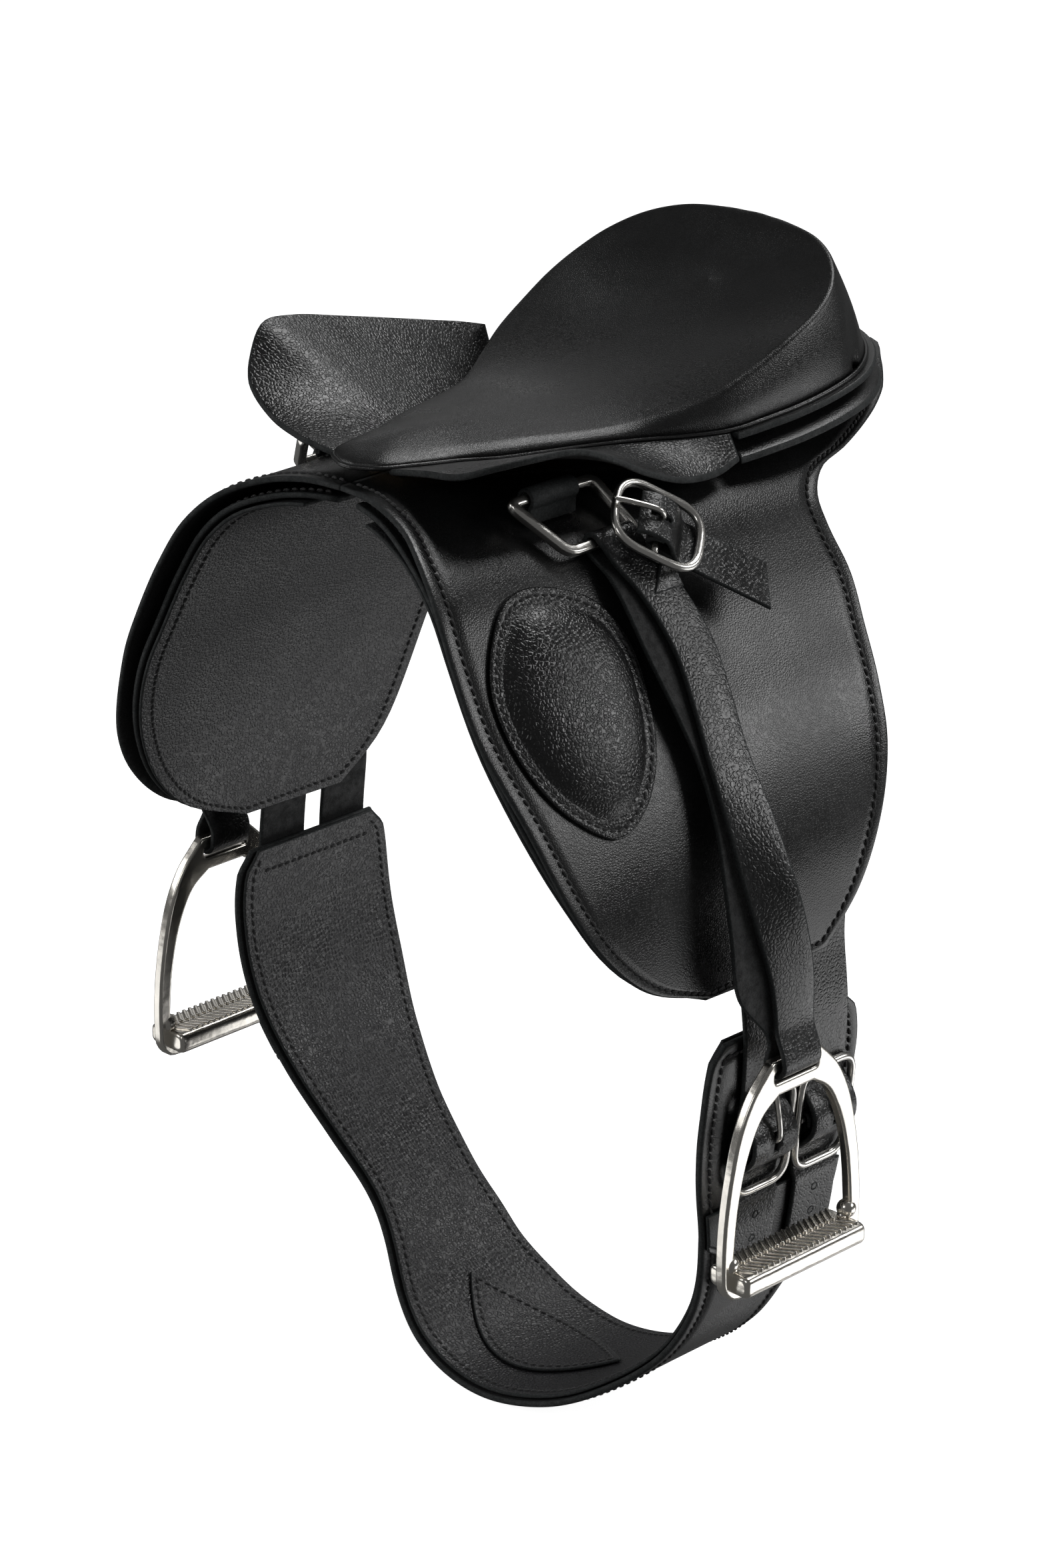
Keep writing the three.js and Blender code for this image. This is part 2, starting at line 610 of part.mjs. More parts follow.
// ---- Flaps, linings and knee rolls ----
const flap = () => archSheet(FLAP_FRONT, FLAP_REAR, FLAP_TOP, LEATHER);
const sweatFlap = () => archSheet(SWEAT_FRONT, SWEAT_REAR, SWEAT_TOP, LEATHER);

const LINING = { inset: 0.6, fromArc: 13 };
function lining() {
  const narrower = (edge, inset) => [
    [edge[1][0] + inset, LINING.fromArc],
    ...edge.slice(2, -1).map(([y, arc]) => [y + inset, arc]),
    [edge.at(-1)[0] + inset, edge.at(-1)[1] - LINING.inset],
  ];
  const [front, rear] = [narrower(SWEAT_FRONT, LINING.inset), narrower(SWEAT_REAR, -LINING.inset)];
  return archSheet(front, rear, LINING_TOP, THIN_LEATHER, { columns: 4 });
}

// Knee roll: a leather cover with a flat stitched edge, domed over a pad.
const KNEE_EDGE = { outer: 1, foldOut: 0.84, foldIn: 0.82, thickness: 1, points: 20 };
const KNEE_LEVELS = [0.8, 0.72, 0.5, 0.2];
const PAD_LEVELS = [0.68, 0.5, 0.2];
const KNEE_LOW = FLAP_TOP + GAP;
const kneeEdge = curveThrough(KNEE_ROLL, true).getSpacedPoints(KNEE_EDGE.points).slice(0, -1);
const kneeCentre = kneeEdge.reduce((sum, p) => sum.add(p), new THREE.Vector3()).divideScalar(kneeEdge.length);
const kneeDome = (share) =>
  (KNEE_ROLL_RISE - KNEE_EDGE.thickness) * Math.sqrt(Math.max(1 - (share / KNEE_EDGE.foldIn) ** 2, 0));

// The knee roll's outline drawn towards its middle, at a height over the flap.
function kneeRing(share, height) {
  return kneeEdge.map((p) => {
    const q = new THREE.Vector3().lerpVectors(kneeCentre, p, share);
    return onArch(q.x, q.y, height);
  });
}

function kneeRollCover() {
  const { outer, foldOut, foldIn, thickness } = KNEE_EDGE;
  return ringStack([
    ...[...KNEE_LEVELS].reverse().map((share) => kneeRing(share * 0.97, KNEE_LOW + kneeDome(share))),
    kneeRing(foldIn, KNEE_LOW),
    kneeRing(outer, KNEE_LOW),
    kneeRing(outer, KNEE_LOW + thickness),
    kneeRing(foldOut, KNEE_LOW + thickness),
    ...KNEE_LEVELS.map((share) => kneeRing(share, KNEE_LOW + thickness + kneeDome(share))),
  ]);
}

function kneeRollPad() {
  return ringStack([
    ...[...PAD_LEVELS].reverse().map((share) => kneeRing(share, KNEE_LOW)),
    ...PAD_LEVELS.map((share) => kneeRing(share * 0.97, KNEE_LOW - GAP + kneeDome(share))),
  ]);
}

// ---- Girth and billets ----
const GIRTH_MESH = { rows: 44, columns: 2 };
const girthBody = () => ribbon(GIRTH_PATH, GIRTH_BODY_TOP, 2, girthFront(0), girthRear(0), GIRTH_MESH);
const GIRTH_LINING_TOP = GIRTH_BODY_TOP - 2 - GAP;
const girthLining = () => ribbon(
  GIRTH_PATH, GIRTH_LINING_TOP, THIN_LEATHER, girthFront(1.5), girthRear(1.5), GIRTH_MESH);

// Leaf-shaped patch on the inside of the girth, across the belly.
const BELLY_PATCH = { middle: 194, half: 36, width: 30, thickness: 1, middleY: 64 };
function bellyPatch() {
  const count = 12;
  const low = BELLY_PATCH.middle - BELLY_PATCH.half;
  const alongAt = (i) => low + (2 * BELLY_PATCH.half * i) / count;
  const path = Array.from({ length: count + 1 }, (_, i) => girthPoint("left", alongAt(i), 0));
  const leaf = (along) => Math.sin(Math.PI * THREE.MathUtils.clamp(along / (2 * BELLY_PATCH.half), 0, 1));
  const span = (along) => 0.5 + (BELLY_PATCH.width / 2) * leaf(along);
  return ribbon(
    path, GIRTH_LINING_TOP - THIN_LEATHER - GAP, BELLY_PATCH.thickness,
    (along) => BELLY_PATCH.middleY - span(along),
    (along) => BELLY_PATCH.middleY + span(along),
    { rows: count, columns: 2 },
  );
}

// Crescent over the stitching of the girth's end, below the buckles.
const END_COVER = { from: 53.5, to: 76, sag: 10 };
function girthEndCover(side) {
  const [rows, columns] = [4, 6];
  const layer = (distance) =>
    Array.from({ length: rows + 1 }, (_, r) =>
      Array.from({ length: columns + 1 }, (_, c) => {
        const across = c / columns;
        const bow = END_COVER.sag * (1 - (2 * across - 1) ** 2);
        const along = THREE.MathUtils.lerp(END_COVER.from, END_COVER.to - END_COVER.sag + bow, r / rows);
        const [front, rear] = [girthFront(1), girthRear(1)].map((edge) => edge(fromSide(side, along)));
        const [x, z] = girthPoint(side, along, distance);
        return [x, THREE.MathUtils.lerp(front, rear, across), z];
      }),
    );
  const low = GIRTH_BODY_TOP + GAP;
  return slab(layer(low + THIN_LEATHER), layer(low));
}

// Height of the middle of a strap that runs through a buckle, by distance from the bar.
const BAR_HEIGHT = 4.7;
const STRAP_THROUGH_BUCKLE = [
  [-17, -2.4], [-13, -2.4], [-10, -1.9], [-7, 1.4], [-3.4, 4], [0, 4.6], [3.4, 4], [7, 1.4], [10, -1.9],
  [13, -2.4], [17, -2.4],
];
const BILLET_ARCS = [34, 48, 62, 76, 90, 104, 118, 132, 146, 160, 172, 182];
const BILLET_TAIL = [53, 57, 62, 68, 76, 82, 88];
const TAIL_HEIGHT = 3.8;
// Share of the full width at the last points of a billet, from its tip.
const BILLET_POINT = [0.2, 0.75];

// One billet: down between flap and sweat flap, through its buckle, and on as a pointed tail.
function billet(side, middleY) {
  const aroundBar = STRAP_THROUGH_BUCKLE.map(([distance, height]) => [BUCKLE_DROP + distance, BAR_HEIGHT + height]);
  const tail = BILLET_TAIL.map((along) => [along, TAIL_HEIGHT]);
  const lower = [[1, 2.3], ...aroundBar, ...tail];
  const middle = (i, y) => {
    if (i < BILLET_ARCS.length) {
      const [x, , z] = onArch(y, BILLET_ARCS[i], BILLET_TOP - STRAP / 2);
      return [x, z];
    }
    return girthPoint(side, ...lower[i - BILLET_ARCS.length]);
  };
  const count = BILLET_ARCS.length + lower.length;
  const pointed = (i) => BILLET_POINT[count - 1 - i] ?? 1;
  const halfWidth = (i) => (BILLET_WIDTH / 2) * pointed(i);
  const layer = (distance) =>
    Array.from({ length: count }, (_, i) =>
      [-1, 1].map((across) => {
        const y = middleY + across * halfWidth(i);
        const [before, here, after] = [Math.max(i - 1, 0), i, Math.min(i + 1, count - 1)].map((k) => middle(k, y));
        const t = new THREE.Vector2(after[0] - before[0], after[1] - before[1]).normalize();
        return [here[0] - t.y * distance, y, here[1] + t.x * distance];
      }),
    );
  return slab(layer(STRAP / 2), layer(-STRAP / 2));
}

function girthBucklePlace(side, middleY) {
  const [x, z] = girthPoint(side, BUCKLE_DROP, BAR_HEIGHT);
  const t = GIRTH_CURVE[side].getTangentAt(BUCKLE_DROP / GIRTH_LENGTH);
  return placement([x, middleY, z], [-t.x, 0, -t.y], [-t.y, 0, t.x]);
}

// ---- D-ring, stirrup leather and iron ----
function dRing() {
  const { top, bottom } = RING;
  const corner = (bar, y) => [bar.x, y, bar.z];
  const down = new THREE.Vector3(bottom.x - top.x, 0, bottom.z - top.z);
  const length = down.length();
  const corners = [[top.y[0], 0], [bottom.y[0], length], [bottom.y[1], length], [top.y[1], 0]];
  const flat = rounded(corners, RING.corner);
  down.normalize();
  const points = flat.map(([y, d]) => [top.x + down.x * d, y, top.z + down.z * d]);
  const normal = new THREE.Vector3().crossVectors(down, new THREE.Vector3(0, 1, 0)).toArray();
  return rod(points, RING_ROD, normal, { closed: true });
}

// Leather wrap that holds the ring's top bar, with its foot stitched to the flap.
const RING_TAB = { y: [19, 37], inner: 1.95, outer: 3.3, foot: 4, footArc: 42.5, footRise: 1.2 };
function ringTab() {
  const wrap = new THREE.Shape().absarc(0, 0, RING_TAB.outer, 0, 2 * Math.PI);
  wrap.holes.push(new THREE.Path().absarc(0, 0, RING_TAB.inner, 0, 2 * Math.PI, true));
  const depth = RING_TAB.y[1] - RING_TAB.y[0];
  const tube = new THREE.ExtrudeGeometry(wrap, { depth, bevelEnabled: false, curveSegments: 8 });
  tube.rotateX(Math.PI / 2);
  tube.translate(RING.top.x, RING_TAB.y[1], RING.top.z);
  const middleY = (RING_TAB.y[0] + RING_TAB.y[1]) / 2;
  const [x, , z] = onArch(middleY, RING_TAB.footArc, FLAP_TOP + RING_TAB.footRise);
  const lean = Math.atan2(RING.top.x - x, RING.top.z - z);
  const reach = Math.hypot(RING.top.x - x, RING.top.z - z) - RING_TAB.inner - GAP;
  const foot = box([RING_TAB.foot, depth, reach], [0, 0, reach / 2]);
  foot.rotateY(lean);
  foot.translate(x, middleY, z);
  return join(tube, foot);
}

// Middle line of the doubled stirrup leather, from the ring's bottom bar to the iron's top bar.
const LEATHER_LINE = [[66, 4.6], [86, 4.8], [106, 5], [126, 5.8], [146, 7.4], [166, 9.6]];
// Middle of each layer along the saddle, as [z, y], from just above the iron to the ring.
const OUTER_LAYER = [
  [-130, 50.6], [-112, 46], [-97, 43.8], [-82, 44], [-67, 45], [-54, 47], [-40, 48.4], [-26, 45], [-12, 38.9],
];
const INNER_LAYER = [
  [-130, 39.5], [-112, 38.2], [-97, 39.5], [-82, 42], [-67, 43], [-54, 42], [-40, 40.5], [-26, 39.5], [-12, 38.9],
];
// The outer layer turns its face forwards on the way down.
const TWIST = { rise: 2.7, tilt: 2.4, from: -60, to: -148 };
const BAND = { half: 0.25, clearance: 0.55, easing: 11, rows: 14, turns: 6 };

function stirrupBand(iron) {
  const layerY = (table, z) => valueAt([[iron.z, iron.y], [iron.z + 6, iron.y], ...table], z);
  const droop = (iron.x - IRON.left.x) / LEATHER_LINE.length;
  const line = [
    [RING.bottom.x, RING.bottom.z],
    ...LEATHER_LINE.map(([arc, out], i) => {
      const p = onArch(48, arc, out + droop * i);
      return [p[0], p[2]];
    }),
    [iron.x, iron.z],
  ];
  const curve = curveThrough(line);
  const length = curve.getLength();
  const ease = (share) => share * share * (3 - 2 * share);
  const rows = [];
  const addRow = (u, sign, angle) => {
    const p = curve.getPointAt(u);
    const t = curve.getTangentAt(u);
    const nearRing = ease(Math.max(1 - (u * length) / BAND.easing, 0));
    const nearIron = ease(Math.max(1 - ((1 - u) * length) / BAND.easing, 0));
    const across = Math.cos(angle) * sign;
    const onwards = Math.sin(angle) * sign;
    const phase = THREE.MathUtils.clamp((p.y - TWIST.from) / (TWIST.to - TWIST.from), 0, 1);
    const turned = Math.max(across, 0) * Math.sin(Math.PI * phase) ** 2;
    const y = THREE.MathUtils.lerp(layerY(INNER_LAYER, p.y), layerY(OUTER_LAYER, p.y), (1 + across) / 2);
    const corner = (thickness, edge) => {
      const half = BAND.half + thickness;
      const atRing = RING_ROD + BAND.clearance + thickness;
      const atIron = IRON_BAR / 2 + 0.4 + BAND.clearance + thickness;
      const twist = (TWIST.rise + TWIST.tilt * edge) * turned;
      const h = half + (atRing - half) * nearRing + (atIron - half) * nearIron + twist;
      const x = p.x + (-t.y * across + t.x * onwards) * h;
      const z = p.y + (t.x * across + t.y * onwards) * h;
      return [x, y + (edge * STRAP_WIDTH) / 2, z];
    };
    rows.push([corner(STRAP, -1), corner(STRAP, 1), corner(0, 1), corner(0, -1)]);
  };
  for (let i = 0; i <= BAND.rows; i++) addRow(i / BAND.rows, 1, 0);
  for (let k = 1; k < BAND.turns; k++) addRow(1, 1, (Math.PI * k) / BAND.turns);
  for (let i = BAND.rows; i >= 0; i--) addRow(i / BAND.rows, -1, 0);
  for (let k = 1; k < BAND.turns; k++) addRow(0, -1, (Math.PI * k) / BAND.turns);
  return closedLoop(rows);
}

// The leather's buckle lies outside the band, turned so that the tail points down and rearwards.
const LEATHER_BUCKLE_AT = { y: 49.5, arc: 55.8, outwards: 11.4, turn: 47 };
function leatherBucklePlace() {
  const { y, arc, outwards, turn } = LEATHER_BUCKLE_AT;
  const here = new THREE.Vector3(...onArch(y, arc, outwards));
  const lower = new THREE.Vector3(...onArch(y, arc + 2, outwards));
  const downwards = new THREE.Vector3().subVectors(lower, here).normalize();
  const angle = THREE.MathUtils.degToRad(turn);
  const towards = new THREE.Vector3(0, -Math.sin(angle), 0).addScaledVector(downwards, -Math.cos(angle));
  const outward = new THREE.Vector3().crossVectors(downwards, new THREE.Vector3(0, 1, 0));
  return placement(here.toArray(), towards.toArray(), outward.toArray());
}

// The tail runs over the buckle's bar and then under its frame, as [y, z] in the buckle's frame.
const LEATHER_TAIL = [
  [7, 1.5], [4.5, 2.9], [2, 3.4], [0, 3.4], [-2, 3.1], [-4.5, 1.4], [-7, -1.4], [-9, -2.6], [-13, -2.6],
  [-24, -2.6], [-38, -2.6],
];
const LEATHER_TAIL_WIDTH = 14.4;
function leatherTail() {
  const layer = (distance) =>
    LEATHER_TAIL.map(([y, z], i) => {
      const [before, after] = [LEATHER_TAIL[i - 1] ?? LEATHER_TAIL[0], LEATHER_TAIL[i + 1] ?? LEATHER_TAIL.at(-1)];
      const t = new THREE.Vector2(after[0] - before[0], after[1] - before[1]).normalize();
      const half = LEATHER_TAIL_WIDTH / 2;
      return [-1, 1].map((across) => [across * half, y + t.y * distance, z - t.x * distance]);
    });
  return slab(layer(STRAP / 2), layer(-STRAP / 2));
}

// Strap end that runs from the buckle down onto the band.
const BUCKLE_LEG = { half: 6, start: [-4.8, -2.15], y: 47, arc: 71, outwards: 6.3 };
function buckleLeg(place) {
  const { half, start, y, arc, outwards } = BUCKLE_LEG;
  const outward = new THREE.Vector3().setFromMatrixColumn(place, 2);
  const edges = [
    [-half, half].map((across) => new THREE.Vector3(across, ...start).applyMatrix4(place)),
    [-half, half].map((across) => new THREE.Vector3(...onArch(y - across, arc, outwards))),
  ];
  const layer = (distance) =>
    edges.map((edge) => edge.map((p) => p.clone().addScaledVector(outward, distance).toArray()));
  return slab(layer(STRAP / 2), layer(-STRAP / 2));
}

function stirrupLeather(iron) {
  const place = leatherBucklePlace();
  const tail = cut(leatherTail(), tongueSlot(LEATHER_BUCKLE)).applyMatrix4(place);
  const chape = buckleChape(LEATHER_BUCKLE, 7).applyMatrix4(place);
  return join(stirrupBand(iron), chape, buckleLeg(place), tail);
}

function stirrupIron({ x, y, z }) {
  const { half, top, bottom } = IRON_SLOT;
  const smooth = (edge) => samples(edge, 10).map((p) => [p.x, p.y]);
  const rightHalf = [...smooth(IRON_OUTER), ...smooth(IRON_INNER)];
  const outline = [...rightHalf, ...rightHalf.map(([a, b]) => [-a, b]).reverse()];
  const slot = box([2 * IRON_BAR, 2 * half, top - bottom], [0, 0, (top + bottom) / 2]);
  const frame = cut(plateAlongX(outline, IRON_BAR), slot);
  const treadZ = -TREAD.drop;
  const tread = box([TREAD.depth, TREAD.length, TREAD.thickness], [0, 0, treadZ]);
  const ribs = Array.from({ length: TREAD.ribs }, (_, i) => {
    const ribY = (i - (TREAD.ribs - 1) / 2) * TREAD.ribSpacing;
    return box([TREAD.depth - 2, TREAD.ribWidth, 2 * TREAD.ribRise], [0, ribY, treadZ + TREAD.thickness / 2]);
  });
  const beads = [-1, 1].map((side) => {
    const bead = new THREE.SphereGeometry(BEAD.radius, 8, 6);
    bead.translate(0, side * BEAD.y, -BEAD.drop);
    return bead;
  });
  const iron = join(frame, tread, ...ribs, ...beads);
  iron.translate(x, y, z);
  return iron;
}

// ---- Assembly ----
const saddle = new THREE.Group();
saddle.position.set(0, -REST_POINT.y, -REST_POINT.z);

function add(name, geometry, material) {
  const bare = bareCopy(geometry);
  bare.computeVertexNormals();
  const mesh = new THREE.Mesh(bare, material);
  mesh.name = name;
  saddle.add(mesh);
}

add("tree", tree(), finish(0xb99a6b, 0.7));
add("gullet_strip", gulletStrip(), finish(BLACK_LEATHER, 0.6));
add("billet_webbing", billetWebbing(), finish(0x2b2b2b, 0.9));
add("crown_leather", crownSheet(CROWN_FRONT, CROWN_REAR, FLAP_TOP, LEATHER), finish(BLACK_LEATHER, 0.42));
add("seat_foam", seatFoam(), finish(0xd9d2be, 0.95));
add("seat_cover", seatCover(), finish(BLACK_LEATHER, 0.4));
add("seat_rim", seatRim(), finish(BLACK_LEATHER, 0.5));
add("rear_skirt", rearSkirt(), finish(BLACK_LEATHER, 0.5));
add("girth_body", girthBody(), finish(BLACK_LEATHER, 0.45));
add("girth_lining", girthLining(), finish(LINING_LEATHER, 0.6));
add("belly_patch", bellyPatch(), finish(LINING_LEATHER, 0.6));

for (const side of SIDES) {
  const put = (name, geometry, material) => add(`${name}_${side}`, onSide(geometry, side), material);
  put("skirt_wing", wing(side), finish(BLACK_LEATHER, 0.5));
  put("flap", flap(), finish(BLACK_LEATHER, 0.42));
  put("knee_roll_cover", kneeRollCover(), finish(SOFT_LEATHER, 0.5));
  put("knee_roll_pad", kneeRollPad(), finish(0xd9d2be, 0.95));
  put("sweat_flap", sweatFlap(), finish(BLACK_LEATHER, 0.5));
  put("lining", lining(), finish(LINING_LEATHER, 0.65));
  put("ring_tab", ringTab(), finish(BLACK_LEATHER, 0.7));
  put("d_ring", dRing(), finish(NICKEL, 0.18, 1));
  put("stirrup_leather", stirrupLeather(IRON[side]), finish(BLACK_LEATHER, 0.55));
  put("leather_buckle", buckleFrame(LEATHER_BUCKLE).applyMatrix4(leatherBucklePlace()), finish(NICKEL, 0.18, 1));
  put("leather_tongue", buckleTongue(LEATHER_BUCKLE).applyMatrix4(leatherBucklePlace()), finish(NICKEL, 0.18, 1));
  put("stirrup_iron", stirrupIron(IRON[side]), finish(NICKEL, 0.2, 1));
  put("girth_end_cover", girthEndCover(side), finish(BLACK_LEATHER, 0.45));
  for (const [row, middleY] of Object.entries(BILLET_ROWS)) {
    const place = girthBucklePlace(side, middleY);
    const slot = tongueSlot(GIRTH_BUCKLE).applyMatrix4(place);
    put(`billet_${row}`, cut(billet(side, middleY), slot), finish(BLACK_LEATHER, 0.5));
    put(`girth_chape_${row}`, buckleChape(GIRTH_BUCKLE, 6.5).applyMatrix4(place), finish(BLACK_LEATHER, 0.6));
    put(`girth_buckle_${row}`, buckleFrame(GIRTH_BUCKLE).applyMatrix4(place), finish(NICKEL, 0.18, 1));
    put(`girth_tongue_${row}`, buckleTongue(GIRTH_BUCKLE).applyMatrix4(place), finish(NICKEL, 0.18, 1));
  }
}

const root = new THREE.Group();
root.add(saddle);
export default root;
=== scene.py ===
"""Looks of the miniature English saddle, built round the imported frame."""
import math

import bmesh
import bpy
import numpy as np
from mathutils import Matrix, Vector


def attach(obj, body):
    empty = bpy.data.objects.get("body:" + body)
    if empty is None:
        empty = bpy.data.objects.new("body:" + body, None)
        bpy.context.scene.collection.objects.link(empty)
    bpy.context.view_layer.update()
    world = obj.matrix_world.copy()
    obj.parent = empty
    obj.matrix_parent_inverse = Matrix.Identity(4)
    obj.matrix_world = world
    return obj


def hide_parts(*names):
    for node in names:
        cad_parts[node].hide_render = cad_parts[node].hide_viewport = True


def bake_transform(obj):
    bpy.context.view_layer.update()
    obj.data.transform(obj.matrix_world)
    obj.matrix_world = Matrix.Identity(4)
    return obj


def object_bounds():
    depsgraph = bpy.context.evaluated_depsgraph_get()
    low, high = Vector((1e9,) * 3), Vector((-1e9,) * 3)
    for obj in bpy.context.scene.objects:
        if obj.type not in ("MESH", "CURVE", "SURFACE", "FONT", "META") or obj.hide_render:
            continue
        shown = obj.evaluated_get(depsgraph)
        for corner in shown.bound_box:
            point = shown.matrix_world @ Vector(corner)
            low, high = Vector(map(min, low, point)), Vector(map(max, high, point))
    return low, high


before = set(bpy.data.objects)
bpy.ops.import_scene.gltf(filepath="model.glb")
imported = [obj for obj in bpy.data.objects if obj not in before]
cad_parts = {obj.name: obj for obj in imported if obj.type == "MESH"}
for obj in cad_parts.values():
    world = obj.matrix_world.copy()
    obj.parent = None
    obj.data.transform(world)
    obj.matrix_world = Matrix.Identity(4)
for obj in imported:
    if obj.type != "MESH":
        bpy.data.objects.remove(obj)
cad_box = [list(corner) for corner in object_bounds()]

# ---- Layout in millimetres, from the front edge of the pommel arch ----
MM = 0.001
REST_POINT = np.array([0, 80, -7.2])
LEATHER, THIN_LEATHER, STRAP, GAP = 1.8, 1.2, 1.5, 0.35
STRAP_WIDTH, BILLET_WIDTH = 15, 18
SIDES = {"left": False, "right": True}

ARCH = [
    (0, 2), (14, 1.6), (26, -0.8), (40, -7), (51, -17), (60, -31), (70, -49),
    (79, -64), (87, -80), (94, -98), (98.5, -116), (101.5, -134), (103, -152), (103.5, -170),
]
FLARE_RATE, FLARE_FROM_Y, FLARE_FROM, FLARE_OVER = 0.08, -20, 30, 155
SHEET_GAP = 0.7
FLAP_TOP = 0
BILLET_TOP = FLAP_TOP - LEATHER - SHEET_GAP
SWEAT_TOP = BILLET_TOP - STRAP - SHEET_GAP
LINING_TOP = SWEAT_TOP - LEATHER - SHEET_GAP

SEAM_FRONT, SEAM_REAR = (-16.5, 31), (128, 51)
CROWN_FRONT = [(-11, 0), (-12, 10), (-14, 20)]
CROWN_REAR = [(190, 0), (197, 10), (187.5, 22), (178.5, 31), (168, 37), (155, 42.5), (142, 47)]
FLAP_FRONT = [
    (-21, 43), (-25, 60), (-27, 80), (-26.5, 98), (-22, 120), (-15, 146),
    (-6, 162), (8, 175), (31, 183.5),
]
FLAP_REAR = [
    (120, 58), (118, 66), (118, 80), (115, 96), (112, 112), (109, 128),
    (102, 148), (92, 168), (78, 183),
]
SWEAT_FRONT = [
    (-9, 4), (-14, 22), (-19, 40), (-22, 66), (-23, 88), (-22, 108), (-18, 128), (-12, 145),
    (-3, 162), (10, 175), (34, 186),
]
SWEAT_REAR = [
    (150, 4), (142, 24), (128, 44), (117, 60), (114, 80), (112, 98), (110, 116), (109, 134),
    (103, 155), (92, 173), (74, 187),
]
KNEE_ROLL = [
    (7, 59), (-3, 61), (-12, 70), (-18, 82), (-18.5, 95), (-15, 110), (-7, 122),
    (6, 130.5), (16, 126), (25, 115), (31, 98), (32, 80), (26, 67),
]
SEAT_BASE = [
    (1.5, -9, 7.2), (8.5, -5, 7.4), (12.6, 5, 7), (16, 18, 6.1), (20.3, 29, 5.3), (23.5, 40, 4.9),
    (28.6, 56, 4.6), (34.5, 71, 4.2), (40.6, 84, 3.8), (45.8, 96, 4), (48, 108, 5.2), (49, 121, 6.4),
    (48.6, 135, 8), (46, 148, 9.6), (39, 160, 11), (28, 170, 11.8), (13, 176.5, 12.2), (1.5, 178, 12.4),
]
SEAT_RIM = [
    (1.2, -7, 9.6), (6.8, -3.5, 10), (11, 6, 9.6), (14.4, 18, 9.2), (19, 29, 9.2), (22.4, 40, 9),
    (27.4, 55, 8.3), (33, 70, 8.8), (39.6, 82, 11.6), (44.6, 94, 16.2), (47, 106, 21.4), (48.2, 118, 27),
    (47.8, 129, 31.8), (44.4, 139, 37), (37, 147, 41.8), (26, 152.5, 45.2), (12, 155, 46.8), (1.2, 156, 47.2),
]
SPINE = [
    (-9, 9.6), (5, 12), (22, 12.4), (42, 11.8), (62, 11), (81, 12.5), (101, 17), (121, 24), (139, 33.5),
    (150, 41), (157, 47.2),
]
WING_EDGE = {
    "left": [
        (26, -4, 10.8), (39, -3.5, 12.6), (48, 1, 16), (54, 10, 18), (56, 24, 17.4), (54, 40, 11),
        (52.5, 56, 2.6), (52.5, 70, -2.6), (52, 84, -4), (50.6, 94.3, -2.4),
    ],
    "right": [
        (24, -4, 9.4), (38, -2, 12), (50, 1, 18.4), (55, 6, 24), (58.5, 14, 31), (59, 26, 30.6),
        (58, 42, 27.2), (56, 60, 23.2), (54, 76, 19.6), (52.4, 86, 17.4), (50.6, 94.3, 15.2),
    ],
}
GIRTH_PATH = [
    (98, -150), (97.5, -166), (95.5, -182), (94, -198), (92.5, -212), (89, -228), (83, -243), (72, -260),
    (55, -275), (34, -287), (10, -293), (-8, -291), (-21, -285), (-32, -276), (-41, -263), (-52, -249),
    (-66, -234), (-80, -216), (-89, -199), (-95, -182), (-97.5, -166), (-98, -150),
]
GIRTH_FRONT = [
    (0, 40), (5, 35), (16, 33), (40, 34), (60, 38), (88, 43), (112, 42), (140, 36), (180, 33), (206, 34),
    (226, 39), (246, 43), (268, 41), (290, 37), (314, 33), (340, 33), (352, 35), (358, 40),
]
GIRTH_REAR = [
    (0, 90), (5, 95), (16, 96.5), (40, 95), (60, 92), (88, 86), (112, 86), (140, 91), (180, 95), (206, 94),
    (226, 90), (246, 86), (268, 87), (290, 91), (314, 95), (340, 96), (352, 95), (358, 90),
]
WING_FROM, WING_TO = -3, 94.6
BILLET_ROWS = {"front": 55, "rear": 80}
BUCKLE_DROP, BAR_HEIGHT = 33, 4.7
BUCKLE_ROD, BAR_ROD, TONGUE_ROD, TONGUE_EYE = 1.25, 1, 0.85, 1.95
# Width, height, corner radius and strap end width.
GIRTH_BUCKLE = (24, 34, 6.5, BILLET_WIDTH - 1)
LEATHER_BUCKLE = (24, 30, 9, STRAP_WIDTH - 1)
IRON = {"left": (113, 52, -153), "right": (118, 46.5, -152.5)}
IRON_OUTER = [
    (9.5, 1.8), (12.6, -1.2), (17.5, -6.5), (22.5, -16), (26.2, -30), (28.2, -44), (28.6, -57), (28, -62.6),
    (24.6, -66.4), (19, -67),
]
IRON_INNER = [(20, -62), (24, -56), (24, -50), (22.4, -36), (18.8, -23), (13.5, -13.5), (7, -9)]
RING_TOP, RING_BOTTOM = (41, 0.4, 13, 45), (54, -12.4, 23, 49)
RING_ROD = 1.5


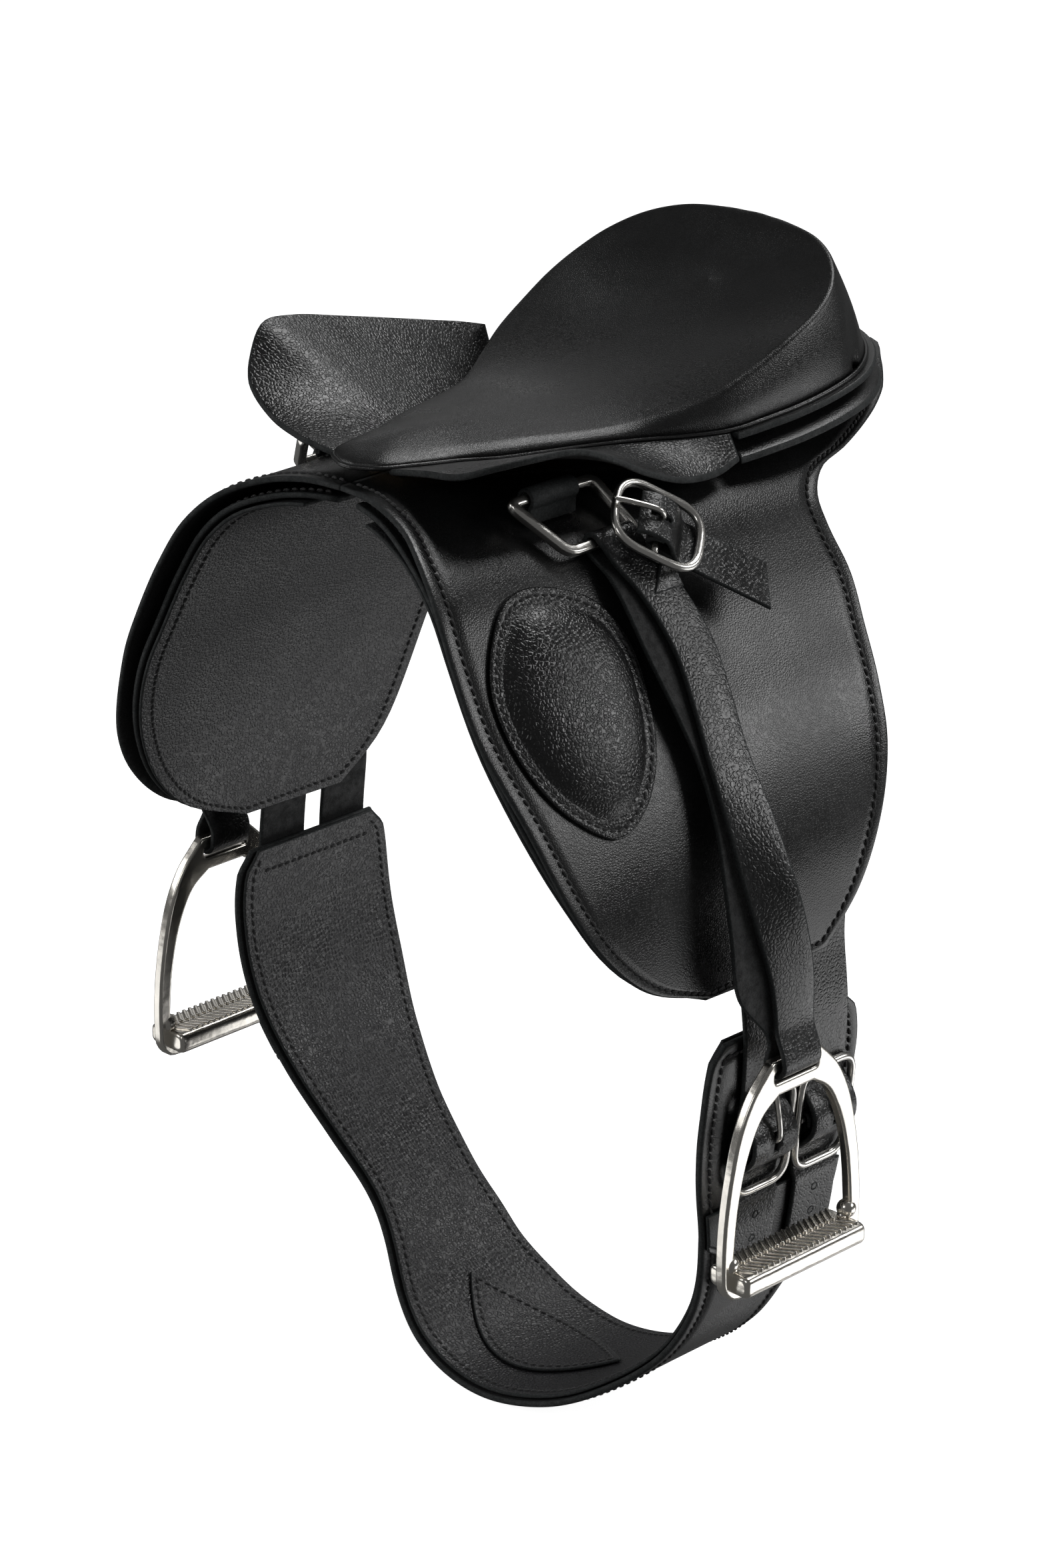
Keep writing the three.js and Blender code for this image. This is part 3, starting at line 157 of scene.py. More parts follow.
# ---- Curves and tables ----
class Curve:
    """Smooth line through points, read by share of its length or by point number."""

    STEPS = 24

    def __init__(self, points, closed=False):
        p = np.array(points, float)
        if closed:
            ends = np.vstack([p[-1], p, p[0], p[1]])
        else:
            ends = np.vstack([2 * p[0] - p[1], p, 2 * p[-1] - p[-2]])
        dense = []
        for a, b, c, d in zip(ends, ends[1:], ends[2:], ends[3:]):
            k0, k1, k2 = (max(np.linalg.norm(q - r), 1e-9) ** 0.5 for q, r in ((b, a), (c, b), (d, c)))
            m1 = ((b - a) / k0 - (c - a) / (k0 + k1) + (c - b) / k1) * k1
            m2 = ((c - b) / k1 - (d - b) / (k1 + k2) + (d - c) / k2) * k1
            for i in range(self.STEPS):
                t = i / self.STEPS
                dense.append(b + m1 * t + (3 * (c - b) - 2 * m1 - m2) * t**2 + (2 * (b - c) + m1 + m2) * t**3)
        dense.append(ends[-2])
        self.dense = np.array(dense)
        steps = np.linalg.norm(np.diff(self.dense, axis=0), axis=1)
        self.along = np.concatenate([[0], np.cumsum(steps)])
        self.length = self.along[-1]

    def read(self, where, knots):
        where = np.asarray(where, float)
        return np.stack([np.interp(where, knots, column) for column in self.dense.T], -1)

    def at(self, share):
        return self.read(np.asarray(share, float) * self.length, self.along)

    def numbered(self, number):
        return self.read(number, np.arange(len(self.dense)) / self.STEPS)

    def share_at(self, number):
        return self.along[round(number * self.STEPS)] / self.length

    def tangent(self, share):
        share = np.asarray(share, float)
        d = self.at(np.minimum(share + 0.002, 1)) - self.at(np.maximum(share - 0.002, 0))
        return d / np.linalg.norm(d, axis=-1, keepdims=True)


def value_at(table, position):
    """Smooth line through (position, value) pairs."""
    knots, values = np.array(table, float).T
    position = np.asarray(position, float)
    i = np.clip(np.searchsorted(knots, position, side="right") - 1, 0, len(knots) - 2)
    t = np.clip((position - knots[i]) / (knots[i + 1] - knots[i]), 0, 1)
    a, b = values[i], values[i + 1]
    before, after = values[np.maximum(i - 1, 0)], values[np.minimum(i + 2, len(knots) - 1)]
    ta, tb = (b - before) / 2, (after - a) / 2
    ends = a * (2 * t**3 - 3 * t**2 + 1) + b * (3 * t**2 - 2 * t**3)
    return ends + ta * (t**3 - 2 * t**2 + t) + tb * (t**3 - t**2)


def graph(points):
    """Smooth height over position, read from a curve through (position, height) points."""
    curve = Curve(points)
    return lambda position: np.interp(position, curve.dense[:, 0], curve.dense[:, 1])


def lerp(a, b, t):
    return a + (b - a) * t


def beside(curve, s, y, out):
    """Points at a distance from a line drawn in the XZ plane."""
    p, d = curve.at(s), curve.tangent(s)
    return np.stack([p[..., 0] - d[..., 1] * out, y, p[..., 1] + d[..., 0] * out], -1)


ARCH_CURVE = Curve(ARCH)


def on_arch(y, arc, out=0.0):
    """Points on the left half of the arch, by length position, arc length and distance outwards."""
    y, arc, out = np.broadcast_arrays(np.asarray(y, float), arc, out)
    share = np.minimum(np.abs(arc) / ARCH_CURVE.length, 1)
    p, t = ARCH_CURVE.at(share), ARCH_CURVE.tangent(share)
    phase = np.clip((np.abs(arc) - FLARE_FROM) / FLARE_OVER, 0, 1)
    flare = FLARE_RATE * (y - FLARE_FROM_Y) * np.sin(math.pi * phase)
    side = np.where(arc < 0, -1, 1)
    return np.stack([side * (p[..., 0] + flare - t[..., 1] * out), y, p[..., 1] + t[..., 0] * out], -1)


# ---- Shapes: points, faces, a material number per face and edge wear per point ----
class Shape:
    def __init__(self, points, faces, kinds=None, wear=None):
        self.points = np.asarray(points, float).reshape(-1, 3)
        self.faces = [tuple(int(i) for i in f) for f in faces]
        self.kinds = list(kinds) if kinds is not None else [0] * len(self.faces)
        self.wear = np.zeros(len(self.points)) if wear is None else np.asarray(wear, float).reshape(-1)

    def volume(self):
        total = 0.0
        for f in self.faces:
            a = self.points[f[0]]
            for j, k in zip(f[1:], f[2:]):
                total += np.dot(a, np.cross(self.points[j], self.points[k]))
        return total / 6

    def facing_out(self):
        if self.volume() < 0:
            self.faces = [f[::-1] for f in self.faces]
        return self

    def __add__(self, other):
        base = len(self.points)
        faces = self.faces + [tuple(i + base for i in f) for f in other.faces]
        points = np.vstack([self.points, other.points])
        return Shape(points, faces, self.kinds + other.kinds, np.concatenate([self.wear, other.wear]))

    def moved(self, matrix):
        m = np.array(matrix)
        return Shape(self.points @ m[:3, :3].T + m[:3, 3], self.faces, self.kinds, self.wear)

    def mirrored(self):
        return Shape(self.points * [-1, 1, 1], [f[::-1] for f in self.faces], self.kinds, self.wear)


def placed(name, data, matrix=None):
    """A new object in the scene."""
    made = bpy.data.objects.new(name, data)
    if matrix is not None:
        made.matrix_world = matrix
    bpy.context.scene.collection.objects.link(made)
    return made


def build(name, shape, materials, body, slot=None, replaces=(), mirror=False):
    """Makes the piece, in metres in the row frame, and lets it ride on a CAD body."""
    shape = shape.mirrored() if mirror else shape
    mesh = bpy.data.meshes.new(name)
    mesh.from_pydata(((shape.points - REST_POINT) * MM).tolist(), [], shape.faces)
    for material in materials:
        mesh.materials.append(material)
    mesh.polygons.foreach_set("material_index", np.minimum(shape.kinds, len(materials) - 1))
    mesh.polygons.foreach_set("use_smooth", [True] * len(shape.faces))
    mesh.attributes.new("wear", "FLOAT", "POINT").data.foreach_set("value", shape.wear.astype(np.float32))
    mesh.validate()
    piece = placed(name, mesh)
    if body:
        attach(piece, body)
    if replaces:
        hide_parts(*replaces)
    return piece


def build_pair(name, shape, materials, body="saddle", slot=None, nodes=()):
    """The same piece on both sides. Its body has a side of its own, apart from the saddle; so may the shape."""
    made = []
    for side, mirror in SIDES.items():
        stands_for = [f"{node}_{side}" for node in nodes or ([name] if slot else [])]
        rides_on = body if body == "saddle" else f"{body}_{side}"
        form = shape(side) if callable(shape) else shape
        made.append(build(f"{name}_{side}", form, materials, rides_on, slot, stands_for, mirror))
    return made


def loft(rings, closed=False, caps=True):
    """Skin through equal closed rings of points; each open end gets a fan."""
    rings = np.asarray(rings, float)
    count, around = rings.shape[:2]
    points = rings.reshape(-1, 3)
    faces = []
    for r in range(count if closed else count - 1):
        for k in range(around):
            a, b = r * around + k, r * around + (k + 1) % around
            c, d = ((r + 1) % count) * around + (k + 1) % around, ((r + 1) % count) * around + k
            faces.append((a, b, c, d))
    if caps and not closed:
        for r in (0, count - 1):
            points = np.vstack([points, rings[r].mean(0)])
            for k in range(around):
                edge = (r * around + k, r * around + (k + 1) % around)
                faces.append((*(edge[::-1] if r == 0 else edge), len(points) - 1))
    return Shape(points, faces).facing_out()


EDGE_AT = np.array([0, 0.1, 0.28, 0.5])
EDGE_HEIGHT = np.array([0.42, 0.74, 0.94, 1.0])
GROOVE_HALF, GROOVE_DEPTH = 0.8, 0.42


def spread(size, near, far, count):
    """Distances across a strip, close together at both edges and even between."""
    scale = min(1, 0.9 * size / max(near[-1] + far[-1], 1e-6))
    middle = np.linspace(near[-1] * scale, size - far[-1] * scale, count + 2)[1:-1]
    return np.concatenate([near * scale, middle, size - far[::-1] * scale])


class Sheet:
    """Leather of one thickness. place(s, t, out) gives its points.

    s runs from start to end and t from front to rear. Edges and grooves are named f, r, s and e.
    """

    def __init__(self, place, width, length, top, thickness, rows=40, columns=16, edges="frse", groove=None,
                 grooved="frse"):
        self.place, self.width, self.length, self.top = place, width, length, top
        groove_at = [] if groove is None else [groove - GROOVE_HALF, groove, groove + GROOVE_HALF]

        def steps(side):
            if side not in edges:
                return np.array([0.0])
            return np.concatenate([EDGE_AT * thickness, groove_at if side in grooved else []])

        down = spread(length, steps("s"), steps("e"), rows)
        self.s = down / length
        widths = np.maximum(width(self.s), 0.5)
        across = np.stack([spread(w, steps("f"), steps("r"), columns) for w in widths])
        self.t = across / widths[:, None]
        far = np.full(across.shape, 1e6)
        side_distance = {
            "f": across, "r": widths[:, None] - across,
            "s": 0 * across + down[:, None], "e": 0 * across + length - down[:, None],
        }
        from_edge = np.min([side_distance[k] for k in edges] + [far], axis=0)
        share = np.interp(from_edge / thickness, EDGE_AT, EDGE_HEIGHT)
        dip = 0
        if groove is not None:
            from_seam = np.min([side_distance[k] for k in grooved], axis=0)
            dip = GROOVE_DEPTH * np.clip(1 - np.abs(from_seam - groove) / GROOVE_HALF, 0, 1)
        half = thickness / 2
        grid_s = self.s[:, None] + 0 * self.t
        self.outer = place(grid_s, self.t, top - half + half * share - dip)
        self.inner = place(grid_s, self.t, top - half - half * share)
        self.wear = np.exp(-from_edge / 0.7)
        self.cut_edge = from_edge < 0.27 * thickness

    def shape(self, hole=None):
        """hole(s, t) is true where the sheet is cut through."""
        rows, columns = self.t.shape
        kept = np.ones((rows - 1, columns - 1), bool)
        if hole is not None:
            middle_s = (self.s[:-1] + self.s[1:])[:, None] / 2
            middle_t = (self.t[:-1, :-1] + self.t[1:, 1:]) / 2
            kept = ~hole(middle_s + 0 * middle_t, middle_t)
        layer = rows * columns
        faces = []
        for r in range(rows - 1):
            for c in range(columns - 1):
                if not kept[r, c]:
                    continue
                a = r * columns + c
                b, d, e = a + 1, a + columns + 1, a + columns
                cut = self.cut_edge[r, c] or self.cut_edge[r + 1, c + 1]
                faces.append(((a, b, d, e), 1 if cut else 0))
                faces.append(((a + layer, e + layer, d + layer, b + layer), 1 if cut else 2))
                for near, (p, q) in (
                    ((r - 1, c), (a, b)), ((r, c + 1), (b, d)), ((r + 1, c), (d, e)), ((r, c - 1), (e, a)),
                ):
                    inside = 0 <= near[0] < rows - 1 and 0 <= near[1] < columns - 1
                    if not inside or not kept[near]:
                        faces.append(((q, p, p + layer, q + layer), 1))
        points = np.vstack([self.outer.reshape(-1, 3), self.inner.reshape(-1, 3)])
        return Shape(points, *zip(*faces), np.tile(self.wear.reshape(-1), 2)).facing_out()

    def line(self, side, inset, begin=0.0, finish=1.0, out=0.0):
        """Points and outward directions on the outer face, at a distance inside one edge."""
        if side in "fr":
            low = begin if begin > 0 else inset / self.length
            high = finish if finish < 1 else 1 - inset / self.length
            s = np.linspace(low, high, 160)
            share = inset / np.maximum(self.width(s), 2.2 * inset)
            t = share if side == "f" else 1 - share
        else:
            s = np.full(60, inset / self.length if side == "s" else 1 - inset / self.length)
            share = inset / self.width(s[:1])[0]
            t = np.linspace(lerp(share, 1 - share, begin), lerp(share, 1 - share, finish), 60)
        p = self.place(s, t, self.top + out + 0 * s)
        n = self.place(s, t, self.top + out + 1 + 0 * s) - p
        return p, n / np.linalg.norm(n, axis=1, keepdims=True)


STITCH_PITCH, STITCH_LENGTH, STITCH_RADIUS, STITCH_SLANT = 2.7, 2.2, 0.42, 0.22
# One stitch: share of its length, share of its radius, and height in diameters.
STITCH_PROFILE = [(-0.5, 0.35, -0.42), (-0.42, 0.8, -0.1), (-0.2, 1, 0.12), (0.2, 1, 0.12), (0.42, 0.8, -0.1),
                  (0.5, 0.35, -0.42)]


def stitches(path, normals, pitch=STITCH_PITCH, length=STITCH_LENGTH, radius=STITCH_RADIUS):
    """A row of thread stitches that dip into the leather at both ends."""
    steps = np.linalg.norm(np.diff(path, axis=0), axis=1)
    along = np.concatenate([[0], np.cumsum(steps)])
    count = max(int(along[-1] / pitch), 1)
    sides, rings = 6, len(STITCH_PROFILE)
    points, faces = [], []

    def read(table, where):
        return np.array([np.interp(where, along, column) for column in table.T])

    for i in range(count):
        where = (i + 0.5) * along[-1] / count
        p, ahead, behind = (read(path, w) for w in (where, where + 0.2, where - 0.2))
        n = read(normals, where)
        x = (ahead - behind) / max(np.linalg.norm(ahead - behind), 1e-9)
        n = n - x * np.dot(n, x)
        n /= np.linalg.norm(n)
        side = np.cross(n, x)
        x, side = x + side * STITCH_SLANT, side - x * STITCH_SLANT
        base = len(points)
        for at, share, lift in STITCH_PROFILE:
            for k in range(sides):
                angle = 2 * math.pi * k / sides
                points.append(
                    p + x * at * length + n * (lift * radius * 2 + radius * share * math.sin(angle))
                    + side * radius * share * math.cos(angle)
                )
        for r in range(rings - 1):
            for k in range(sides):
                a, b = base + r * sides + k, base + r * sides + (k + 1) % sides
                faces.append((a, b, b + sides, a + sides))
        faces.append(tuple(base + k for k in reversed(range(sides))))
        faces.append(tuple(base + (rings - 1) * sides + k for k in range(sides)))
    return Shape(points, faces).facing_out()


def seams(sheet, sides, inset, begin=0.0, finish=1.0, below=None):
    """Stitch lines inside some edges of a sheet. below is its thickness where they are on the inner face."""
    rows = []
    for side in sides:
        path, out = sheet.line(side, inset, begin, finish, out=-(below or 0))
        rows.append(stitches(path, -out if below else out))
    return sum(rows[1:], rows[0])


def tube(points, radius, closed=False, sides=14, normal=None, square=0.0):
    """Rod along a line. square above 0 flattens its sides."""
    p = np.asarray(points, float)
    if closed:
        d = np.roll(p, -1, 0) - np.roll(p, 1, 0)
    else:
        d = np.gradient(p, axis=0)
    d /= np.linalg.norm(d, axis=1, keepdims=True)
    n = np.tile(np.asarray(normal if normal is not None else (0, 0, 1), float), (len(p), 1))
    if normal is None:
        n[0] = np.cross(d[0], (0.31, 0.17, 0.93))
        for i in range(1, len(p)):
            n[i] = n[i - 1]
            n[i] -= d[i] * np.dot(n[i], d[i])
            n[i] /= np.linalg.norm(n[i])
    n -= d * np.sum(n * d, 1, keepdims=True)
    n /= np.linalg.norm(n, axis=1, keepdims=True)
    across = np.cross(n, d)
    angle = 2 * math.pi * (np.arange(sides) + 0.5) / sides
    ca, sa = np.cos(angle), np.sin(angle)
    swell = 1 / (np.abs(ca) ** (2 + 6 * square) + np.abs(sa) ** (2 + 6 * square)) ** (1 / (2 + 6 * square))
    radius = np.broadcast_to(np.asarray(radius, float), (len(p),))
    rings = (
        p[:, None] + across[:, None] * (radius[:, None] * ca * swell)[..., None]
        + n[:, None] * (radius[:, None] * sa * swell)[..., None]
    )
    return loft(rings, closed)


def rounded(corners, radius, steps=8, between=6):
    """Flat polygon with rounded corners, with extra points along its sides."""
    c = np.array(corners, float)
    out = []
    for i, p in enumerate(c):
        a, b = c[i - 1] - p, c[(i + 1) % len(c)] - p
        start, end = p + a / np.linalg.norm(a) * radius, p + b / np.linalg.norm(b) * radius
        for k in range(steps + 1):
            t = k / steps
            out.append(start * (1 - t) ** 2 + 2 * p * t * (1 - t) + end * t**2)
        following = c[(i + 1) % len(c)]
        back = p - following
        next_start = following + back / np.linalg.norm(back) * radius
        for k in range(1, between):
            out.append(lerp(end, next_start, k / between))
    return np.array(out)


def frame_matrix(origin, towards, outwards):
    """Buckle frame: bar along X, tongue towards +Y and the outside at +Z."""
    y = np.array(towards, float)
    y /= np.linalg.norm(y)
    z = np.array(outwards, float)
    z -= y * z.dot(y)
    z /= np.linalg.norm(z)
    m = np.eye(4)
    m[:3, 0], m[:3, 1], m[:3, 2], m[:3, 3] = np.cross(y, z), y, z, origin
    return m


# ---- Materials ----
class Nodes:
    """Short calls for one material's node tree. The colours are linear."""

    def __init__(self, name):
        self.material = bpy.data.materials.new(name)
        self.material.use_nodes = True
        self.tree = self.material.node_tree
        self.shader = self.tree.nodes["Principled BSDF"]
        self.place = self.add("ShaderNodeTexCoord").outputs["Object"]

    def add(self, kind, **values):
        node = self.tree.nodes.new(kind)
        for key, value in values.items():
            setattr(node, key, value)
        return node

    def join(self, output, socket):
        self.tree.links.new(output, socket)

    def noise(self, scale, detail=3, roughness=0.55, vector=None):
        node = self.add("ShaderNodeTexNoise")
        node.inputs["Scale"].default_value = scale
        node.inputs["Detail"].default_value = detail
        node.inputs["Roughness"].default_value = roughness
        self.join(vector or self.place, node.inputs["Vector"])
        return node.outputs["Fac"]

    def creases(self, scale, wander=0.35):
        """Height of a pebbled grain: 1 on the pebbles and 0 in the creases."""
        warp = self.add("ShaderNodeTexNoise")
        warp.inputs["Scale"].default_value = scale * 0.6
        self.join(self.place, warp.inputs["Vector"])
        shift = self.add("ShaderNodeVectorMath", operation="MULTIPLY_ADD")
        self.join(warp.outputs["Color"], shift.inputs[0])
        shift.inputs[1].default_value = (wander / scale,) * 3
        self.join(self.place, shift.inputs[2])
        cells = self.add("ShaderNodeTexVoronoi", feature="DISTANCE_TO_EDGE")
        cells.inputs["Scale"].default_value = scale
        self.join(shift.outputs[0], cells.inputs["Vector"])
        return self.remap(cells.outputs["Distance"], 0, 0.3, 0, 1)

    def remap(self, value, low, high, to_low, to_high):
        node = self.add("ShaderNodeMapRange", interpolation_type="SMOOTHSTEP")
        for key, number in zip(("From Min", "From Max", "To Min", "To Max"), (low, high, to_low, to_high)):
            node.inputs[key].default_value = number
        self.join(value, node.inputs["Value"])
        return node.outputs["Result"]

    def math(self, operation, a, b):
        node = self.add("ShaderNodeMath", operation=operation)
        for socket, value in zip(node.inputs, (a, b)):
            if isinstance(value, (int, float)):
                socket.default_value = value
            else:
                self.join(value, socket)
        return node.outputs[0]

    def mix(self, amount, a, b):
        node = self.add("ShaderNodeMix", data_type="RGBA")
        self.join(amount, node.inputs["Factor"])
        for key, value in (("A", a), ("B", b)):
            socket = [s for s in node.inputs if s.name == key and s.type == "RGBA"][0]
            if isinstance(value, tuple):
                socket.default_value = (*value, 1)
            else:
                self.join(value, socket)
        return [s for s in node.outputs if s.type == "RGBA"][0]

    def attribute(self, name):
        return self.add("ShaderNodeAttribute", attribute_name=name).outputs["Fac"]

    def bump(self, height, distance, strength=1.0, normal=None):
        node = self.add("ShaderNodeBump")
        node.inputs["Strength"].default_value = strength
        node.inputs["Distance"].default_value = distance
        self.join(height, node.inputs["Height"])
        if normal is not None:
            self.join(normal, node.inputs["Normal"])
        return node.outputs["Normal"]

    def finish(self, color, normal, roughness, **constants):
        """Joins the shader's main inputs, and sets the named ones to constants."""
        for key, output in (("Base Color", color), ("Normal", normal), ("Roughness", roughness)):
            self.join(output, self.shader.inputs[key])
        for key, value in constants.items():
            self.shader.inputs[key.replace("_", " ")].default_value = value
        return self.material


def leather(name, color, worn, roughness, grain, depth, fine=5200, fine_depth=0.000012):
    """Black leather: pebbled grain with painted shade in its creases, fine pores, slow changes of tone, and
    lighter worn edges.
    """
    n = Nodes(name)
    pebbles = n.creases(grain)
    slow = n.noise(38, detail=4)
    patches = n.noise(420, detail=3)
    tone = n.mix(n.remap(slow, 0.3, 0.7, 0, 1), color, tuple(c * 1.5 for c in color))
    # Painted shade: the grain's creases are painted darker than its pebbles.
    crease_shaded = n.mix(pebbles, tuple(c * 0.55 for c in color), tone)
    edge = n.math("MULTIPLY", n.attribute("wear"), n.remap(patches, 0.35, 0.65, 0.25, 1))
    gloss = n.math("ADD", n.remap(slow, 0.3, 0.7, -0.04, 0.06), n.remap(patches, 0.3, 0.7, -0.01, 0.02))
    pores = n.bump(n.noise(fine, detail=2), fine_depth)
    return n.finish(n.mix(edge, crease_shaded, worn), n.bump(pebbles, depth, normal=pores),
                    n.math("ADD", gloss, roughness), Specular_IOR_Level=0.7)


def flesh(name, color, lighter):
    """Rough flesh side or cut edge: short matted fibres."""
    n = Nodes(name)
    fibres = n.noise(1900, detail=5, roughness=0.7)
    clumps = n.noise(420, detail=3)
    return n.finish(n.mix(n.remap(fibres, 0.35, 0.68, 0, 1), color, lighter),
                    n.bump(clumps, 0.00022, normal=n.bump(fibres, 0.00012)),
                    n.remap(clumps, 0.3, 0.7, 0.55, 0.8), Specular_IOR_Level=0.4)


def metal(name, color, roughness):
    """Plated metal: faint polishing waves, tiny pits and dull patches."""
    n = Nodes(name)
    smears = n.noise(55, detail=4)
    pits = n.bump(n.noise(2600, detail=2), 0.00001, 0.6)
    return n.finish(n.mix(n.remap(smears, 0.35, 0.7, 0, 1), color, tuple(c * 0.86 for c in color)),
                    n.bump(n.noise(160, detail=2), 0.0004, 0.5, normal=pits),
                    n.remap(smears, 0.3, 0.75, roughness, roughness + 0.1), Metallic=1)


def woven(name, color, scale, lighter):
    """Woven tape: crossing ribs, with the lighter colour on their tops. On the black thread that lighter colour is
    a painted highlight.
    """
    n = Nodes(name)
    ribs = []
    for direction in ("X", "Y", "Z"):
        wave = n.add("ShaderNodeTexWave", wave_type="BANDS", bands_direction=direction)
        wave.inputs["Scale"].default_value = scale
        wave.inputs["Distortion"].default_value = 0.4
        n.join(n.place, wave.inputs["Vector"])
        ribs.append(wave.outputs["Fac"])
    height = n.math("MULTIPLY", n.math("MULTIPLY", ribs[0], ribs[1]), n.math("ADD", ribs[2], 0.5))
    return n.finish(n.mix(height, color, lighter), n.bump(height, 0.0002), n.remap(height, 0, 1, 0.85, 0.7),
                    Sheen_Weight=0.3)


def wood(name):
    """Pale wood with rings drawn out along the tree."""
    n = Nodes(name)
    stretch = n.add("ShaderNodeMapping")
    stretch.inputs["Scale"].default_value = (1, 0.08, 1)
    n.join(n.place, stretch.inputs["Vector"])
    rings = n.noise(420, detail=5, vector=stretch.outputs["Vector"])
    return n.finish(n.mix(rings, (0.32, 0.2, 0.1), (0.6, 0.44, 0.26)), n.bump(rings, 0.0002),
                    n.remap(rings, 0.3, 0.7, 0.5, 0.7))


BLACK, WORN = (0.0085, 0.0088, 0.009), (0.05, 0.052, 0.053)
smooth_leather = leather("smooth_leather", BLACK, WORN, 0.27, 1300, 0.000024)
seat_leather = leather("seat_leather", BLACK, WORN, 0.3, 1700, 0.00003)
grained_leather = leather("grained_leather", (0.0095, 0.0098, 0.0102), WORN, 0.27, 900, 0.00008)
lining_leather = leather("lining_leather", (0.014, 0.0135, 0.0155), WORN, 0.38, 800, 0.00011)
strap_leather = leather("strap_leather", (0.009, 0.0095, 0.0098), WORN, 0.28, 800, 0.00006)
flesh_side = flesh("flesh_side", (0.006, 0.0062, 0.0064), (0.022, 0.023, 0.0235))
cut_edge = flesh("cut_edge", (0.01, 0.0115, 0.0118), (0.034, 0.039, 0.0395))
nickel = metal("nickel", (0.86, 0.84, 0.8), 0.19)
warm_nickel = metal("stirrup_nickel", (0.87, 0.835, 0.77), 0.18)
webbing = woven("webbing", (0.006, 0.006, 0.0065), 900, (0.03, 0.03, 0.032))
# The thread's lighter colour, on its rib tops, is a painted highlight on black thread.
thread = woven("thread", (0.012, 0.012, 0.0125), 2600, (0.07, 0.071, 0.074))
tree_wood = wood("tree_wood")

LEATHER_SET = [smooth_leather, cut_edge, flesh_side]
GRAINED_SET = [grained_leather, cut_edge, flesh_side]
LINING_SET = [lining_leather, cut_edge, lining_leather]
STRAP_SET = [strap_leather, cut_edge, flesh_side]


# ---- Outer leather: crown and flap in one panel on each side, meeting at the seam ----
CROWN_SHARE = 0.27
STITCH_INSET = 4.2


def seam_blend(piece, side):
    """Takes the panel off any parent and bakes its place into its points. The seam ends worked out here are not
    used.
    """
    front, rear = on_arch(*SEAM_FRONT), on_arch(*SEAM_REAR)
    axis = (rear - front) / np.linalg.norm(rear - front)
    below = on_arch(SEAM_FRONT[0], SEAM_FRONT[1] + 3) - front
    across = below - axis * below.dot(axis)
    across /= np.linalg.norm(across)
    ends = [(front + across * d - REST_POINT) * MM for d in (-1.5, 1.5)]
    if SIDES[side]:
        ends = [e * [-1, 1, 1] for e in ends]
    piece.parent = None
    tuple(ends[0])
    tuple(ends[1])
    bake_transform(piece)


def panel_edge(crown, seam, flap):
    """An edge of the outer leather. The crown takes a fixed share of it, down to the seam."""
    curve = Curve([*crown, seam, *flap])
    at_seam = curve.share_at(len(crown))

    def at(s):
        below = at_seam + (s - CROWN_SHARE) / (1 - CROWN_SHARE) * (1 - at_seam)
        return curve.at(np.where(s < CROWN_SHARE, s / CROWN_SHARE * at_seam, below))

    return at


def arch_sheet(front, rear, length, top, thickness, **options):
    """Sheet over the arch between two edges, which give length position and arc for a share s."""

    def place(s, t, out):
        p = lerp(front(s), rear(s), t[..., None])
        return on_arch(p[..., 0], p[..., 1], out)

    return Sheet(place, lambda s: np.linalg.norm(front(s) - rear(s), axis=-1), length, top, thickness, **options)


panel = arch_sheet(panel_edge(CROWN_FRONT, SEAM_FRONT, FLAP_FRONT), panel_edge(CROWN_REAR, SEAM_REAR, FLAP_REAR),
                   236, FLAP_TOP, LEATHER, rows=84, columns=44, edges="fre", groove=STITCH_INSET, grooved="fre")
panel_shape, panel_seams = panel.shape(), seams(panel, "fre", STITCH_INSET)
for side, mirror in SIDES.items():
    piece = build(f"outer_leather_{side}", panel_shape, LEATHER_SET, None, "smooth_leather",
                  (f"flap_{side}", "crown_leather"), mirror)
    seam_blend(piece, side)
    seam_blend(build(f"outer_stitching_{side}", panel_seams, [thread], None, mirror=mirror), side)

SWEAT_INSET = 3.6
sweat = arch_sheet(Curve(SWEAT_FRONT).at, Curve(SWEAT_REAR).at, 184, SWEAT_TOP, LEATHER, rows=56, columns=26,
                   edges="fre", groove=SWEAT_INSET, grooved="fre")
build_pair("sweat_flap", sweat.shape(), LEATHER_SET, slot="smooth_leather")
build_pair("sweat_stitching", seams(sweat, "fre", SWEAT_INSET), [thread])

LINING_INSET, LINING_FROM = 0.6, 13
LINING_STITCH_INSET = 4.6


def narrowed(edge, inset):
    start, end = (edge[1][0] + inset, LINING_FROM), (edge[-1][0] + inset, edge[-1][1] - LINING_INSET)
    return Curve([start, *((y + inset, arc) for y, arc in edge[2:-1]), end]).at


lining = arch_sheet(narrowed(SWEAT_FRONT, LINING_INSET), narrowed(SWEAT_REAR, -LINING_INSET), 172, LINING_TOP,
                    THIN_LEATHER, rows=40, columns=20)
build_pair("lining", lining.shape(), LINING_SET, slot="lining_leather")
build_pair("lining_stitching", seams(lining, "fre", LINING_STITCH_INSET, below=THIN_LEATHER), [thread])

WEBBING_MARGIN, WEBBING_ARC = 9, 32
WEBBING_FRONT, WEBBING_REAR = BILLET_ROWS["front"] - WEBBING_MARGIN, BILLET_ROWS["rear"] + WEBBING_MARGIN


def webbing_place(s, t, out):
    return on_arch(lerp(WEBBING_FRONT, WEBBING_REAR, t), lerp(-WEBBING_ARC, WEBBING_ARC, s), out)


web = Sheet(webbing_place, lambda s: WEBBING_REAR - WEBBING_FRONT + 0 * s, 2 * WEBBING_ARC, BILLET_TOP, STRAP,
            24, 10)
build("billet_webbing", web.shape(), [webbing], "saddle", "webbing", ("billet_webbing",))


def gullet_place(s, t, out):
    return np.stack([lerp(-11, 11, t), lerp(10, 150, s), REST_POINT[2] + out], -1)


